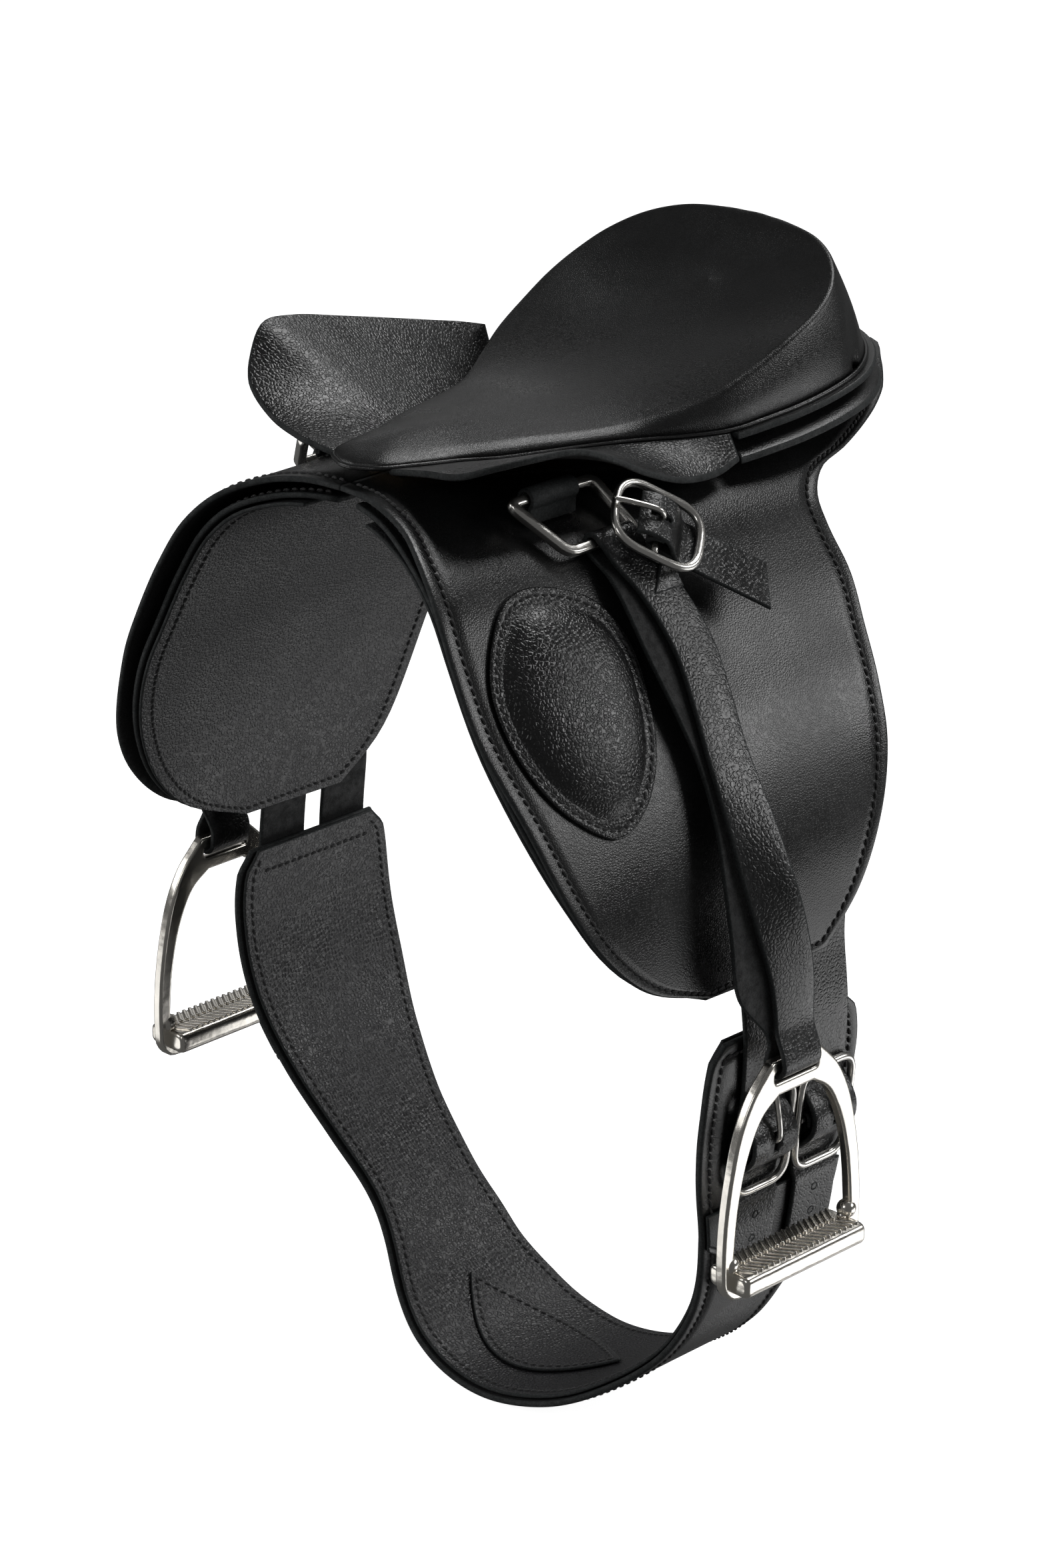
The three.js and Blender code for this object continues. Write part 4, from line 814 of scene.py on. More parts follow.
gullet = Sheet(gullet_place, lambda s: 22 + 0 * s, 140, 2, 2, 30, 6, groove=3, grooved="fr")
build("gullet_strip", gullet.shape(), LEATHER_SET, "saddle", "smooth_leather", ("gullet_strip",))
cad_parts["tree"].data.materials.clear()
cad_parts["tree"].data.materials.append(tree_wood)


# ---- Seat ----
base_curve, rim_curve = Curve(SEAT_BASE), Curve(SEAT_RIM)
spine_height = graph(SPINE)
LAST = len(SEAT_BASE) - 1


def seat_point(v, level):
    """Point on the left half of the seat. level 0 is the bottom edge, 1 the rim, 2 the middle of the top."""
    base, rim = base_curve.numbered(v), rim_curve.numbered(v)
    wall, inwards = np.minimum(level, 1), np.maximum(level - 1, 0)
    p = lerp(base, rim, wall[..., None])
    x = (p[..., 0] + 1.5 * np.sin(math.pi * wall)) * (1 - inwards)
    spine_y = lerp(12, 140, (p[..., 1] + 9) / 174)
    z = lerp(p[..., 2], spine_height(spine_y), np.sin(math.pi / 2 * inwards))
    return np.stack([x, lerp(p[..., 1], spine_y, inwards), z], -1)


def seat_shape():
    v = np.linspace(0, LAST, 150)
    base, rim = base_curve.numbered(v), rim_curve.numbered(v)
    roll = 1.7
    low = 1 - np.minimum(roll / np.linalg.norm(rim - base, axis=1), 0.5)
    high = 1 + np.minimum(roll / np.maximum(rim[:, 0], 1), 0.3)
    rings = [seat_point(v, w * low) for w in np.linspace(0, 1, 9)]
    start, corner, end = seat_point(v, low), seat_point(v, 1 + 0 * v), seat_point(v, high)
    for t in np.linspace(0, 1, 8)[1:-1]:
        rings.append(start * (1 - t) ** 2 + 2 * corner * t * (1 - t) + end * t**2)
    for w in np.linspace(0, 1, 18):
        rings.append(seat_point(v, lerp(high, 2, w**0.85)))
    rings = np.array(rings)
    underside = []
    for share, height in ((0.97, -0.3), (0.9, 0.3), (0.6, 1.6), (0.0, 2.4)):
        ring = rings[0].copy()
        ring[:, 0] *= share
        ring[:, 1] = 80 + (ring[:, 1] - 80) * lerp(1, share, 0.5)
        ring[:, 2] += height
        underside.append(ring)
    half = np.concatenate([np.array(underside[::-1]), rings])
    whole = np.concatenate([half, (half * [-1, 1, 1])[:, ::-1]], 1)
    return loft(whole, caps=False)


rim_outline = rim_curve.numbered(np.linspace(0, LAST, 300))
TOP_FROM, SMOOTHING, RIM_MARGIN = 9.5, 30, 4


def inside_rim(point):
    """True for the top of the seat, away from its rolled rim."""
    x, y = abs(point.x) / MM, point.y / MM + REST_POINT[1]
    return np.min(np.hypot(rim_outline[:, 0] - x, rim_outline[:, 1] - y)) > RIM_MARGIN and -3 < y < 152


def weld(piece, distance=0.00004):
    """Closes the middle line of the seat and smooths its top."""
    mesh = bmesh.new()
    mesh.from_mesh(piece.data)
    bmesh.ops.remove_doubles(mesh, verts=mesh.verts, dist=distance)
    bmesh.ops.holes_fill(mesh, edges=mesh.edges, sides=6)
    top = [v for v in mesh.verts if v.co.z * 1000 + REST_POINT[2] > TOP_FROM and inside_rim(v.co)]
    for _ in range(SMOOTHING):
        bmesh.ops.smooth_vert(mesh, verts=top, factor=0.5, use_axis_x=True, use_axis_y=True, use_axis_z=True)
    bmesh.ops.recalc_face_normals(mesh, faces=mesh.faces)
    mesh.to_mesh(piece.data)
    mesh.free()


seat = build("seat_cover", seat_shape(), [seat_leather], "saddle", "seat_leather", ("seat_cover", "seat_foam"))
weld(seat)

piping_half = base_curve.numbered(np.linspace(0, LAST, 150)) + [0.5, 0, 0.1]
piping = np.concatenate([piping_half, (piping_half * [-1, 1, 1])[::-1]])
piping_tube = tube(piping, 0.75, closed=True, normal=(0, 0, 1))
build("seat_piping", piping_tube, [smooth_leather], "saddle", "smooth_leather")


def rear_band(from_y, out_by, in_by, top, thickness):
    left = [p for p in SEAT_BASE if p[1] >= from_y]
    path = Curve(left + [(-x, y, z) for x, y, z in reversed(left)])

    def place(s, t, out):
        p, d = path.at(s), path.tangent(s)
        flat = np.hypot(d[..., 0], d[..., 1])
        offset = lerp(out_by, in_by, t)
        x = p[..., 0] + d[..., 1] / flat * offset
        y = p[..., 1] - d[..., 0] / flat * offset
        return np.stack([x, y, top(x, p[..., 1], offset) + out], -1)

    return Sheet(place, lambda s: out_by - in_by + 0 * s, path.length, 0, thickness, 120, 6)


def seat_edge(y):
    return value_at([(p[1], p[2]) for p in SEAT_BASE], y)


def arch_height(x):
    return value_at(ARCH, np.abs(x))


def skirt_top(x, y, offset):
    hanging = seat_edge(y) - 3 * GAP + 0.35 - 2 - (offset + 4) * 0.5
    return np.maximum(hanging, arch_height(np.maximum(np.abs(x) - 4, 0)) + 2 + GAP)


rim_band = rear_band(95, 3.4, -6, lambda x, y, offset: seat_edge(y) - GAP, 2)
skirt_band = rear_band(90, 5, -4, skirt_top, 2)
build("seat_rim", rim_band.shape(), LEATHER_SET, "saddle", "smooth_leather", ("seat_rim",))
build("rear_skirt", skirt_band.shape(), LEATHER_SET, "saddle", "smooth_leather", ("rear_skirt",))


# ---- Skirt wings ----
def seat_half(y):
    return value_at([(p[1], p[0]) for p in SEAT_BASE], y)


def wing_sheet(side):
    outer = Curve(WING_EDGE[side])

    def inner(s):
        y = lerp(WING_FROM, WING_TO, s)
        return np.stack([seat_half(y) + 1.4, y, seat_edge(y)], -1)

    def place(s, t, out):
        p = lerp(inner(s), outer.at(s), t[..., None])
        p[..., 2] += out
        return p

    return Sheet(place, lambda s: np.linalg.norm(inner(s) - outer.at(s), axis=-1), 92, 0, 2, 60, 20)


build_pair("skirt_wing", lambda side: wing_sheet(side).shape(), GRAINED_SET, "skirt", "grained_leather")


# ---- Knee rolls ----
knee_curve = Curve(KNEE_ROLL, closed=True)
knee_edge = knee_curve.at(np.arange(96) / 96)
knee_centre = knee_edge.mean(0)
KNEE_LOW = FLAP_TOP + GAP
# Share of the way to the outline, and height; the dip is the seam. The pad rises inside it.
KNEE_EDGE = [
    (0.0, 0), (0.5, 0), (0.97, 0), (1, 0.25), (1, 0.8), (0.985, 1.0), (0.955, 1.0), (0.935, 0.75), (0.915, 1.0),
    (0.87, 1.05),
]
KNEE_SEAM, KNEE_SEAM_HEIGHT, KNEE_PAD, KNEE_RISE = 0.935, 0.85, 0.85, 4.9


def knee_ring(share, height):
    q = lerp(knee_centre, knee_edge, share)
    return on_arch(q[:, 0], q[:, 1], height)


def knee_shape():
    profile = list(KNEE_EDGE)
    for share in np.linspace(KNEE_PAD, 0, 18):
        profile.append((share, KNEE_EDGE[-1][1] + KNEE_RISE * (1 - (share / KNEE_PAD) ** 2.6) ** 0.62))
    return loft([knee_ring(max(share, 0.002), KNEE_LOW + height) for share, height in profile])


knee_path = knee_ring(KNEE_SEAM, KNEE_LOW + KNEE_SEAM_HEIGHT)
knee_out = knee_ring(KNEE_SEAM, KNEE_LOW + KNEE_SEAM_HEIGHT + 1) - knee_path
knee_path, knee_out = np.vstack([knee_path, knee_path[:1]]), np.vstack([knee_out, knee_out[:1]])
for piece in build_pair("knee_roll", knee_shape(), [grained_leather], "flap", "grained_leather",
                        ("knee_roll_cover", "knee_roll_pad")):
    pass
build_pair("knee_roll_stitching", stitches(knee_path, knee_out), [thread], "flap")


# ---- Girth ----
GIRTH_CURVES = {"left": Curve(GIRTH_PATH), "right": Curve([(-x, z) for x, z in reversed(GIRTH_PATH)])}
GIRTH_LENGTH = GIRTH_CURVES["left"].length
GIRTH_TABLE = 358 / GIRTH_LENGTH


def girth_edges(along, inset):
    share = along * GIRTH_TABLE
    return value_at(GIRTH_FRONT, share) + inset, value_at(GIRTH_REAR, share) - inset


def ribbon(inset, top, thickness, rows, columns, groove=None):
    curve = GIRTH_CURVES["left"]

    def place(s, t, out):
        return beside(curve, s, lerp(*girth_edges(s * GIRTH_LENGTH, inset), t), out)

    def width(s):
        front, rear = girth_edges(s * GIRTH_LENGTH, inset)
        return rear - front

    return Sheet(place, width, GIRTH_LENGTH, top, thickness, rows, columns, "frse", groove, "frse")


GIRTH_INSET = 4
girth = ribbon(0, 1, 2, 190, 10, GIRTH_INSET)
build("girth_body", girth.shape(), LEATHER_SET, "saddle", "smooth_leather", ("girth_body",))
build("girth_stitching", seams(girth, "frse", GIRTH_INSET), [thread], "saddle")
under = ribbon(1.5, -1.35, THIN_LEATHER, 150, 8)
build("girth_lining", under.shape(), LINING_SET, "saddle", "lining_leather", ("girth_lining",))
inner_seams = seams(under, "fr", 3, below=THIN_LEATHER) + seams(under, "se", 7, below=THIN_LEATHER)
build("girth_lining_stitching", inner_seams, [thread], "saddle")

PATCH_LOW, PATCH_HALF = 158, 36


def patch_place(s, t, out):
    along = PATCH_LOW + 2 * PATCH_HALF * s
    half = 0.5 + 15 * np.sin(math.pi * s)
    return beside(GIRTH_CURVES["left"], along / GIRTH_LENGTH, lerp(64 - half, 64 + half, t), out)


patch = Sheet(patch_place, lambda s: 1 + 30 * np.sin(math.pi * s), 72, -2.9, 1, 40, 10)
build("belly_patch", patch.shape(), LINING_SET, "saddle", "lining_leather", ("belly_patch",))
build("belly_patch_stitching", seams(patch, "fr", 2.4, below=1), [thread], "saddle")


COVER_INSET = 2.6


def cover_sheet(side):
    """Crescent over the girth's end; its lower edge bows downwards."""

    def place(s, t, out):
        bow = 10 * (1 - (2 * t - 1) ** 2)
        along = lerp(53.5, 66 + bow, s)
        y = lerp(*girth_edges(along if side == "left" else GIRTH_LENGTH - along, 1), t)
        return beside(GIRTH_CURVES[side], along / GIRTH_LENGTH, y, out)

    return Sheet(place, lambda s: 58 + 0 * s, 20, 2.55, THIN_LEATHER, 14, 30, groove=COVER_INSET,
                 grooved="e")


build_pair("girth_end_cover", lambda side: cover_sheet(side).shape(), LEATHER_SET, slot="smooth_leather")
build_pair("girth_end_stitching", lambda side: seams(cover_sheet(side), "e", COVER_INSET, 0.04, 0.96), [thread])


# ---- Straps with buckles ----
def girth_point(side, along, out):
    return beside(GIRTH_CURVES[side], along / GIRTH_LENGTH, 0 * along, out)[..., [0, 2]]


def punched(centre, x_axis, normal, radius=0.95):
    """A punched hole: a dark dished disc with a soft raised lip."""
    x = np.array(x_axis, float)
    n = np.array(normal, float)
    n /= np.linalg.norm(n)
    x -= n * x.dot(n)
    x /= np.linalg.norm(x)
    y = np.cross(n, x)
    angle = np.linspace(0, 2 * math.pi, 16, endpoint=False)
    circle = np.cos(angle)[:, None] * x + np.sin(angle)[:, None] * y
    profile = [(1.5, -0.1), (1.3, 0.1), (1.08, 0.12), (0.95, -0.02), (0.55, -0.06), (0.05, -0.08)]
    low = [centre + circle * radius * 1.3 - n * 0.25]
    return loft(np.array(low + [centre + circle * radius * r + n * h for r, h in profile]))


ARC_STOPS = [34, 48, 62, 76, 90, 104, 118, 132, 146, 160, 172, 182]
THROUGH_BUCKLE = [
    (-17, -2.4), (-13, -2.4), (-10, -1.9), (-7, 1.4), (-3.4, 4), (0, 4.6), (3.4, 4), (7, 1.4), (10, -1.9),
    (13, -2.4), (17, -2.4),
]
TAIL_STOPS, TAIL_HEIGHT = [53, 57, 62, 68, 76, 82, 88], 3.8


def billet_sheet(side, middle_y):
    lower = [(1, 2.3)] + [(BUCKLE_DROP + d, BAR_HEIGHT + h) for d, h in THROUGH_BUCKLE]
    lower += [(along, TAIL_HEIGHT) for along in TAIL_STOPS]

    def edge(y):
        upper = [tuple(on_arch(y, arc, BILLET_TOP - STRAP / 2)[[0, 2]]) for arc in ARC_STOPS]
        return Curve(upper + [tuple(girth_point(side, along, out)) for along, out in lower])

    half = BILLET_WIDTH / 2
    front, rear = edge(middle_y - half), edge(middle_y + half)
    length = front.length

    def half_width(s):
        return np.interp((1 - s) * length, [0, 1, 7], [0.8, 1.9, half])

    def place(s, t, out):
        y = (2 * t - 1) * half_width(s)
        blend = ((y + half) / BILLET_WIDTH)[..., None]
        return lerp(beside(front, s, middle_y + y, out), beside(rear, s, middle_y + y, out), blend)

    return Sheet(place, lambda s: 2 * half_width(s), length, STRAP / 2, STRAP, 170, 6)


def buckle_place(side, middle_y):
    x, z = girth_point(side, BUCKLE_DROP, BAR_HEIGHT)
    d = GIRTH_CURVES[side].tangent(BUCKLE_DROP / GIRTH_LENGTH)
    return frame_matrix((x, middle_y, z), (-d[0], 0, -d[1]), (-d[1], 0, d[0]))


def buckle_frame(size):
    w, h = size[0] / 2 - BUCKLE_ROD, size[1] / 2 - BUCKLE_ROD
    outline = rounded([(-w, -h), (w, -h), (w, h), (-w, h)], size[2], 10)
    outline = np.column_stack([outline, np.zeros(len(outline))])
    bar = np.array([(x, 0, 0) for x in np.linspace(-w, w, 9)])
    return tube(outline, BUCKLE_ROD, True, 16, (0, 0, 1)) + tube(bar, BAR_ROD, sides=14, normal=(0, 0, 1))


def buckle_tongue(size):
    reach = size[1] / 2 - BUCKLE_ROD
    angle = 2 * math.pi * np.arange(28) / 28
    eye = np.column_stack([0 * angle, TONGUE_EYE * np.cos(angle), TONGUE_EYE * np.sin(angle)])
    rest = BUCKLE_ROD + TONGUE_ROD + 0.35
    pin = Curve([(0, 0, TONGUE_EYE), (0, 1.2, 4.6), (0, 3, 5.8), (0, reach * 0.75, 4), (0, reach, rest + 0.3),
                 (0, reach + 1.9, rest - 0.1)])
    share = np.linspace(0, 1, 36)
    radius = TONGUE_ROD * np.interp(share, [0, 0.88, 1], [1, 1, 0.62])
    eye_rod = tube(eye, TONGUE_ROD * 0.92, True, 12, (1, 0, 0))
    return eye_rod + tube(pin.at(share), radius, sides=12, normal=(1, 0, 0))


def chape_shape(back, width):
    """Strap end wrapped round the bar, with a slot for the tongue."""
    middle = 2.15
    angle = np.linspace(math.pi / 2, -math.pi / 2, 12)
    turn = [(middle * math.cos(a), middle * math.sin(a)) for a in angle]
    curve = Curve([(-1.5, middle + 0.1), *turn, (-back * 0.6, -middle), (-back, -middle)])

    def place(s, t, out):
        return beside(curve, s, width * (t - 0.5), out)[..., [1, 0, 2]]

    sheet = Sheet(place, lambda s: width + 0 * s, curve.length, 0.65, 1.3, 26, 6)
    return sheet.shape(lambda s, t: (np.abs(t - 0.5) < 0.07) & (curve.at(s)[..., 0] > -3.4))


HOLES_FROM_TIP = (6.5, 15, 23, 31)
SLOT_HALF, SLOT_FROM, SLOT_TO = 0.08, -2.6, 4.2


def in_tongue_slot(t, along):
    """True for the slot in a strap, by share of its width and distance beyond the buckle's bar."""
    return (np.abs(t - 0.5) < SLOT_HALF) & (along > SLOT_FROM) & (along < SLOT_TO)


def slotted_billet(strap, place):
    """The strap with a slot where the tongue passes, and its punched holes."""

    def slot(s, t):
        along = (strap.place(s, t, 0 * s) - place[:3, 3]) @ place[:3, 1]
        return (s > 0.6) & in_tongue_slot(t, along)

    shape = strap.shape(slot)
    for distance in HOLES_FROM_TIP:
        s = np.full(2, 1 - distance / strap.length)
        p, q = strap.place(s, np.full(2, 0.5), np.array([STRAP / 2, STRAP / 2 + 1]))
        hole = punched(p, (0, 1, 0), q - p)
        shape = shape + Shape(hole.points, hole.faces, [1] * len(hole.faces))
    return shape


for side, mirror in SIDES.items():
    for row, middle_y in BILLET_ROWS.items():
        place = buckle_place(side, middle_y)
        strap, chape = slotted_billet(billet_sheet(side, middle_y), place), chape_shape(6.5, GIRTH_BUCKLE[3])
        for name, shape, materials, body, slot in (
            ("billet", strap, STRAP_SET, "saddle", "strap_leather"),
            ("girth_chape", chape.moved(place), STRAP_SET, "saddle", "strap_leather"),
            ("girth_buckle", buckle_frame(GIRTH_BUCKLE).moved(place), [nickel], "saddle", "nickel"),
            ("girth_tongue", buckle_tongue(GIRTH_BUCKLE).moved(place), [nickel], f"girth_pin_{row}_{side}",
             "nickel"),
        ):
            name = f"{name}_{row}_{side}"
            build(name, shape, materials, body, slot, (name,), mirror)


# ---- D-rings and their tabs ----
def d_ring():
    top = np.array([RING_TOP[0], 0, RING_TOP[1]])
    down = np.array([RING_BOTTOM[0], 0, RING_BOTTOM[1]]) - top
    drop = np.linalg.norm(down)
    down /= drop
    flat = rounded([(RING_TOP[2], 0), (RING_BOTTOM[2], drop), (RING_BOTTOM[3], drop), (RING_TOP[3], 0)], 3, 8)
    points = top + down * flat[:, 1:] + np.array([0, 1, 0]) * flat[:, :1]
    return tube(points, RING_ROD, True, 20, np.cross(down, (0, 1, 0)), square=0.35)


TAB_Y, TAB_TOP = (19, 37), 0.65


def ring_tab():
    """Leather wrap that holds the ring's top bar, and its foot on the flap."""
    middle = 2.6
    foot = on_arch(28, 42.5, FLAP_TOP + 1.0)[[0, 2]]
    centre = np.array(RING_TOP[:2])
    lean = centre - foot
    lean /= np.linalg.norm(lean)
    start = math.atan2(-lean[1], -lean[0])
    angle = start + np.linspace(0.5, 2 * math.pi - 0.5, 22)
    loop = centre + middle * np.column_stack([np.cos(angle), np.sin(angle)])
    curve = Curve([foot, *loop, lerp(foot, loop[-1], 0.25)])

    def place(s, t, out):
        return beside(curve, s, lerp(*TAB_Y, t), out)

    return Sheet(place, lambda s: TAB_Y[1] - TAB_Y[0] + 0 * s, curve.length, TAB_TOP, 2 * TAB_TOP, 34, 8)


tab = ring_tab()
tab_rows = []
for share in (0.3, 0.7):
    s = np.linspace(0.12, 0.9, 60)
    p, q = (tab.place(s, 0 * s + share, 0 * s + out) for out in (TAB_TOP, TAB_TOP + 1))
    tab_rows += [stitches(p, direction, 1.9, 1.5, 0.3) for direction in (q - p, p - q)]
build_pair("ring_tab", tab.shape(), [webbing, cut_edge], "flap", "smooth_leather")
build_pair("ring_tab_stitching", sum(tab_rows[1:], tab_rows[0]), [thread], "flap")
build_pair("d_ring", d_ring(), [nickel], "ring", "nickel")


# ---- Stirrup leathers ----
LEATHER_LINE = [(66, 4.6), (86, 4.8), (106, 5), (126, 5.8), (146, 7.4), (166, 9.6)]
OUTER_LAYER = [
    (-130, 50.6), (-112, 46), (-97, 43.8), (-82, 44), (-67, 45), (-54, 47), (-40, 48.4), (-26, 45),
    (-12, 38.9),
]
INNER_LAYER = [
    (-130, 39.5), (-112, 38.2), (-97, 39.5), (-82, 42), (-67, 43), (-54, 42), (-40, 40.5), (-26, 39.5),
    (-12, 38.9),
]
IRON_BAR = 3.6
STRAP_SECTION = [
    (0, -0.5), (0, -0.93), (0.06, -0.985), (0.25, -1), (0.75, -1), (0.94, -0.985), (1, -0.93), (1, -0.5),
    (1, 0), (1, 0.5), (1, 0.93), (0.94, 0.985), (0.75, 1), (0.25, 1), (0.06, 0.985), (0, 0.93), (0, 0.5), (0, 0),
]
BAND_HALF, BAND_CLEARANCE, BAND_CUP, BAND_EASING = 0.25, 0.55, 0.25, 11
TWIST_RISE, TWIST_TILT, TWIST_FROM, TWIST_TO = 2.7, 2.4, -60, -148
SECTION_KINDS = [2, 1, 1, 1, 1, 1, 0, 0, 0, 0, 1, 1, 1, 1, 1, 2, 2, 2]


def ease(share):
    share = np.clip(share, 0, 1)
    return share * share * (3 - 2 * share)


def stirrup_band(iron):
    """Strap doubled through the ring and the iron; its outer layer turns its face forwards on the way down."""
    x, y, z = iron
    ends = [(z, y), (z + 6, y)]
    droop = (x - IRON["left"][0]) / len(LEATHER_LINE)
    line = [RING_BOTTOM[:2]]
    line += [tuple(on_arch(48, arc, out + droop * i)[[0, 2]]) for i, (arc, out) in enumerate(LEATHER_LINE)]
    curve = Curve(line + [(x, z)])
    length = curve.length
    rings = []

    def add_ring(u, sign, angle):
        p, t = curve.at(u), curve.tangent(u)
        near_ring, near_iron = (ease(1 - share * length / BAND_EASING) for share in (u, 1 - u))
        across, onwards = math.cos(angle) * sign, math.sin(angle) * sign
        phase = min(max((p[1] - TWIST_FROM) / (TWIST_TO - TWIST_FROM), 0), 1)
        turned = max(across, 0) * math.sin(math.pi * phase) ** 2
        inner, outer = (value_at(ends + layer, p[1]) for layer in (INNER_LAYER, OUTER_LAYER))
        middle_y = lerp(inner, outer, (1 + across) / 2)
        ring = []
        for share, edge in STRAP_SECTION:
            h = BAND_HALF + share * STRAP
            h += (RING_ROD + BAND_CLEARANCE - BAND_HALF) * near_ring
            h += (IRON_BAR / 2 + 0.4 + BAND_CLEARANCE - BAND_HALF) * near_iron
            h += (TWIST_RISE + TWIST_TILT * edge) * turned
            h += BAND_CUP * (1 - edge**2) * (1 - near_ring) * (1 - near_iron)
            ring.append((
                p[0] + (-t[1] * across + t[0] * onwards) * h, middle_y + edge * STRAP_WIDTH / 2,
                p[1] + (t[0] * across + t[1] * onwards) * h,
            ))
        rings.append(ring)

    rows, turns = 90, 16
    for i in range(rows + 1):
        add_ring(i / rows, 1, 0)
    for k in range(1, turns):
        add_ring(1, 1, math.pi * k / turns)
    for i in range(rows, -1, -1):
        add_ring(i / rows, -1, 0)
    for k in range(1, turns):
        add_ring(0, -1, math.pi * k / turns)
    band = loft(rings, closed=True)
    around = len(STRAP_SECTION)
    band.kinds = [SECTION_KINDS[i % around] for i in range(len(band.faces))]
    wear = [1.0 if 0.02 < share < 0.98 else (0.5 if abs(edge) > 0.9 else 0.0) for share, edge in STRAP_SECTION]
    band.wear = np.tile(wear, len(rings))
    return band


def leather_place():
    y, arc, out, turn = 49.5, 55.8, 11.4, math.radians(47)
    here, lower = on_arch(y, arc, out), on_arch(y, arc + 2, out)
    down = (lower - here) / np.linalg.norm(lower - here)
    towards = np.array([0, -math.sin(turn), 0]) - down * math.cos(turn)
    return frame_matrix(here, towards, np.cross(down, (0, 1, 0)))


TAIL_LINE = [
    (7, 1.5), (4.5, 2.9), (2, 3.4), (0, 3.4), (-2, 3.1), (-4.5, 1.4), (-7, -1.4), (-9, -2.6), (-13, -2.6),
    (-24, -2.6), (-38, -2.6),
]
TAIL_HALF, TAIL_HOLES = 7.2, (-16, -33)


def tail_shape():
    curve = Curve(TAIL_LINE)

    def place(s, t, out):
        p, d = curve.at(s), curve.tangent(s)
        skew = (t - 0.5) * np.interp((1 - s) * curve.length, [0, 6], [3.5, 0])
        along = p[..., 0] + d[..., 1] * out + skew
        return np.stack([lerp(-TAIL_HALF, TAIL_HALF, t), along, p[..., 1] - d[..., 0] * out], -1)

    sheet = Sheet(place, lambda s: 2 * TAIL_HALF + 0 * s, curve.length, STRAP / 2, STRAP, 60, 6)
    shape = sheet.shape(lambda s, t: in_tongue_slot(t, curve.at(s)[..., 0]))
    for y in TAIL_HOLES:
        shape = shape + punched(np.array([0.0, y, TAIL_LINE[-1][1] + STRAP / 2]), (0, 1, 0), (0, 0, 1))
    return shape


def leg_shape(place):
    """Short strap from the chape down to the leather below."""
    inverse = np.linalg.inv(place)
    foot = on_arch(47, 71, 6.3)
    foot = inverse[:3, :3] @ foot + inverse[:3, 3]
    start = np.array([0, -4.8, -2.15])
    side_foot = inverse[:3, :3] @ np.array([0, -1.0, 0])

    def put(s, t, out):
        a = start + np.stack([lerp(-6, 6, t), 0 * t, 0 * t], -1)
        b = foot + side_foot * lerp(-6, 6, t)[..., None]
        p = lerp(a, b, s[..., None])
        p[..., 2] += out
        return p

    return Sheet(put, lambda s: 12 + 0 * s, 16, STRAP / 2, STRAP, 16, 6).shape()


leather_frame = leather_place()
ends = (chape_shape(7, LEATHER_BUCKLE[3]) + leg_shape(leather_frame) + tail_shape()).moved(leather_frame)
build_pair("stirrup_leather", lambda side: stirrup_band(IRON[side]) + ends, STRAP_SET, "leather", "strap_leather")
build_pair("leather_buckle", buckle_frame(LEATHER_BUCKLE).moved(leather_frame), [nickel], "leather", "nickel")
build_pair("leather_tongue", buckle_tongue(LEATHER_BUCKLE).moved(leather_frame), [nickel], "leather_pin", "nickel")


# ---- Stirrup irons ----
def plate(outlines, depth, bevel):
    """Flat plate in the YZ plane with rounded edges; the first outline is outside and the rest are openings."""
    curve = bpy.data.curves.new("plate", "CURVE")
    curve.dimensions = "2D"
    curve.fill_mode = "BOTH"
    curve.extrude = depth / 2 - bevel
    curve.bevel_depth = bevel
    curve.bevel_resolution = 4
    curve.offset = -bevel
    for outline in outlines:
        spline = curve.splines.new("POLY")
        spline.points.add(len(outline) - 1)
        spline.points.foreach_set("co", [c for a, b in outline for c in (a, b, 0, 1)])
        spline.use_cyclic_u = True
    holder = bpy.data.objects.new("plate", curve)
    mesh = bpy.data.meshes.new_from_object(holder)
    points = np.array([v.co for v in mesh.vertices])
    faces = [tuple(p.vertices) for p in mesh.polygons]
    bpy.data.objects.remove(holder)
    bpy.data.curves.remove(curve)
    return Shape(points[:, [2, 0, 1]], faces).facing_out()


def iron_frame():
    share = np.linspace(0, 1, 44)
    outer = Curve(IRON_OUTER).at(share)
    inner = Curve(IRON_INNER).at(share)
    whole_outer = np.vstack([outer, outer[::-1] * [-1, 1]])
    opening = np.vstack([inner, inner[::-1] * [-1, 1]])
    slot = rounded([(-8.8, -1.8), (8.8, -1.8), (8.8, -4.9), (-8.8, -4.9)], 1.2, 5, 4)
    return plate([whole_outer, opening, slot], IRON_BAR, 0.95)


def rounded_bar(length, width, thickness, radius, end):
    """Bar along Y with a rounded section that narrows at its ends."""
    w, h = width / 2, thickness / 2
    section = rounded([(-w, -h), (w, -h), (w, h), (-w, h)], radius, 8, 4)
    rings = []
    for distance, inset in ((0, end), (end * 0.15, end * 0.45), (end * 0.5, end * 0.12), (end, 0)):
        scale = 1 - 2 * inset / np.array([width, thickness])
        rings.append([(a, -length / 2 + distance, b) for a, b in section * scale])
    reach = length / 2 - 2 * end
    middle = [[(a, y, b) for a, b in section] for y in np.linspace(-reach, reach, 6)]
    rings = rings + middle + [[(a, -y, b) for a, y, b in ring] for ring in reversed(rings)]
    return loft(rings)


def ball(centre, radius):
    around = np.linspace(0, 2 * math.pi, 18, endpoint=False)
    rings = []
    for angle in np.linspace(-math.pi / 2 + 0.2, math.pi / 2 - 0.2, 9):
        r, z = radius * math.cos(angle), radius * math.sin(angle)
        rings.append(np.column_stack([r * np.cos(around), r * np.sin(around), 0 * around + z]) + centre)
    return loft(rings)


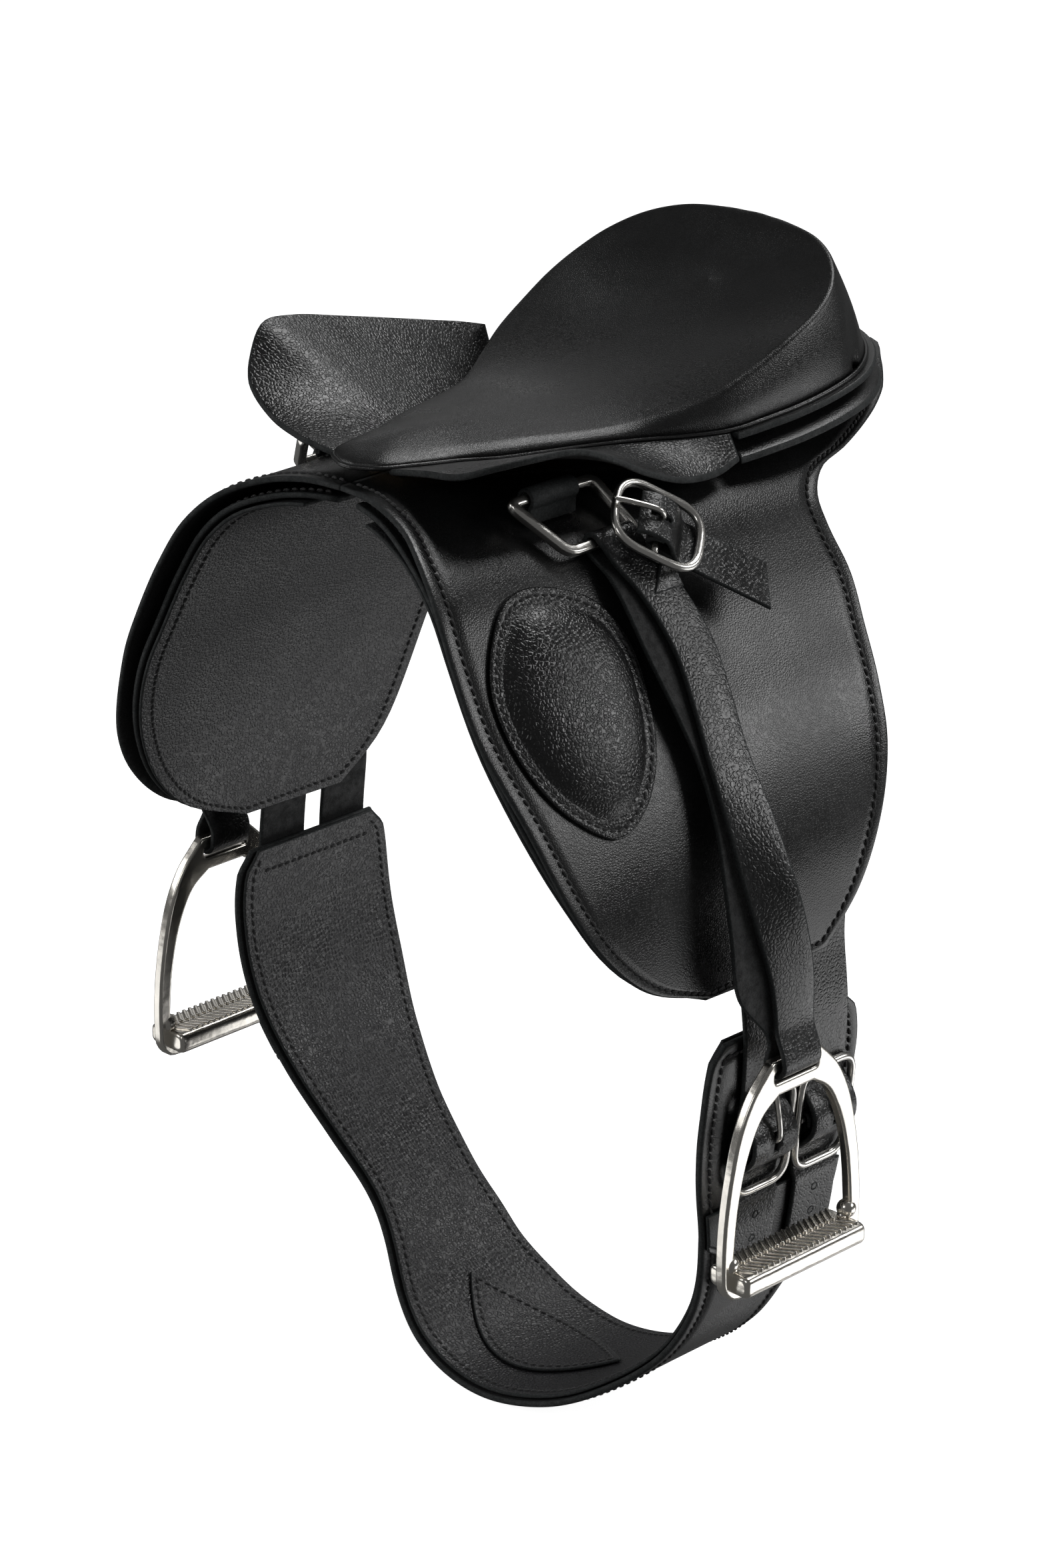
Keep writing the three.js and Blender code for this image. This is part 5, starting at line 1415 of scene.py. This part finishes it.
# Length, width, thickness, corner radius and narrowing at the ends.
TREAD, RIB = (50, 15, 6.6, 2.4, 1.5), (6.6, 1.25, 1.5, 0.5, 0.35)
TREAD_Z, TREAD_TOP, RIB_ROW, RIB_PITCH, RIBS_BESIDE, RIB_TURN = -61, 3.3, 3.3, 2.35, 9, math.radians(32)
# Distance from the middle, height and radius.
BEADS = [(24.5, -55.5, 2.9), (22.6, -57.2, 1.5)]


def stirrup_iron():
    """The iron with its ribbed tread and the beads at the tread's ends."""
    iron = iron_frame() + rounded_bar(*TREAD).moved(Matrix.Translation((0, 0, TREAD_Z)))
    rib = rounded_bar(*RIB).moved(Matrix.Rotation(math.radians(90), 4, "Z"))
    for row in (-1, 1):
        turned = rib.moved(Matrix.Rotation(row * RIB_TURN, 4, "Z"))
        for i in range(-RIBS_BESIDE, RIBS_BESIDE + 1):
            place = (row * RIB_ROW, i * RIB_PITCH, TREAD_Z + TREAD_TOP)
            iron = iron + turned.moved(Matrix.Translation(place))
    for end in (-1, 1):
        for y, z, radius in BEADS:
            iron = iron + ball(np.array([0, end * y, z]), radius)
    return iron


iron_shape = stirrup_iron()
irons = build_pair("stirrup_iron", lambda side: iron_shape.moved(Matrix.Translation(IRON[side])), [warm_nickel],
                   "iron", "stirrup_nickel")
for piece in irons:
    weighted = piece.modifiers.new("even_faces", "WEIGHTED_NORMAL")
    weighted.mode = "FACE_AREA"
    weighted.weight = 80


# ---- Camera, lights and floor ----
CAMERA_PLACE = (0.92659, -0.9475, 0.43101)
AZIMUTH, ELEVATION = math.radians(45), math.radians(22)
level = math.cos(ELEVATION)
back = Vector((math.sin(AZIMUTH) * level, -math.cos(AZIMUTH) * level, math.sin(ELEVATION)))
right = Vector((math.cos(AZIMUTH), math.sin(AZIMUTH), 0))
camera_data = bpy.data.cameras.new("camera")
camera_data.sensor_fit = "VERTICAL"
camera_data.sensor_height = 36
camera_data.lens = 112
turned = Matrix((right, back.cross(right), back)).transposed().to_4x4()
bpy.context.scene.camera = placed("camera", camera_data, Matrix.Translation(CAMERA_PLACE) @ turned)

# Name, place, the point it faces, size and power.
SOFTBOXES = [
    ("top_light", (0.05, 0.68, 1.15), (0, 0.02, 0), (0.9, 0.5), 8.0),
    ("right_light", (1.03, 0.91, 0.42), (0.09, 0.02, -0.03), (0.75, 0.38), 4.2),
    ("low_light", (0.95, 0.85, -0.74), (0.1, 0, -0.2), (1.3, 0.6), 3.8),
    ("left_light", (-0.93, -0.92, 0.45), (-0.08, 0, -0.03), (0.9, 0.5), 3.6),
    ("low_left_light", (-1.0, -0.95, -0.62), (-0.1, 0, -0.2), (1.2, 0.6), 2.6),
    ("back_light", (-1.25, 1.35, 0.62), (0, 0, 0), (1.2, 0.4), 0.8),
    ("front_light", (0.35, -1.5, 0.75), (0, 0, -0.1), (0.5, 0.5), 2.0),
    ("floor_light", (0.2, 1.1, -1.1), (0, 0, -0.1), (0.9, 0.7), 1.0),
]
for name, place, target, size, power in SOFTBOXES:
    light = bpy.data.lights.new(name, "AREA")
    light.shape = "RECTANGLE"
    light.size, light.size_y = size
    light.energy = power
    aim = (Vector(target) - Vector(place)).to_track_quat("-Z", "Y").to_matrix().to_4x4()
    placed(name, light, Matrix.Translation(place) @ aim)

world = bpy.data.worlds.new("studio")
world.use_nodes = True
world.node_tree.nodes["Background"].inputs["Color"].default_value = (1, 1, 1, 1)
world.node_tree.nodes["Background"].inputs["Strength"].default_value = 0.09
bpy.context.scene.world = world
bpy.context.scene.view_settings.view_transform = "Standard"

FLOOR_REACH, FLOOR_GAP = 12, 0.0005
floor_z = cad_box[0][2] - FLOOR_GAP
floor_mesh = bpy.data.meshes.new("floor")
corners = [(x * FLOOR_REACH, y * FLOOR_REACH, floor_z) for x, y in ((-1, -1), (1, -1), (1, 1), (-1, 1))]
floor_mesh.from_pydata(corners, [], [(0, 1, 2, 3)])
floor = placed("floor", floor_mesh)
pale = Nodes("pale_floor")
pale.join(pale.mix(pale.noise(6), (0.9, 0.9, 0.9), (0.93, 0.93, 0.93)), pale.shader.inputs["Base Color"])
pale.shader.inputs["Roughness"].default_value = 0.9
pale.shader.inputs["Emission Color"].default_value = (1, 1, 1, 1)
pale.shader.inputs["Emission Strength"].default_value = 0.92
floor_mesh.materials.append(pale.material)
floor.visible_glossy = False
floor.visible_diffuse = False
floor.visible_shadow = False
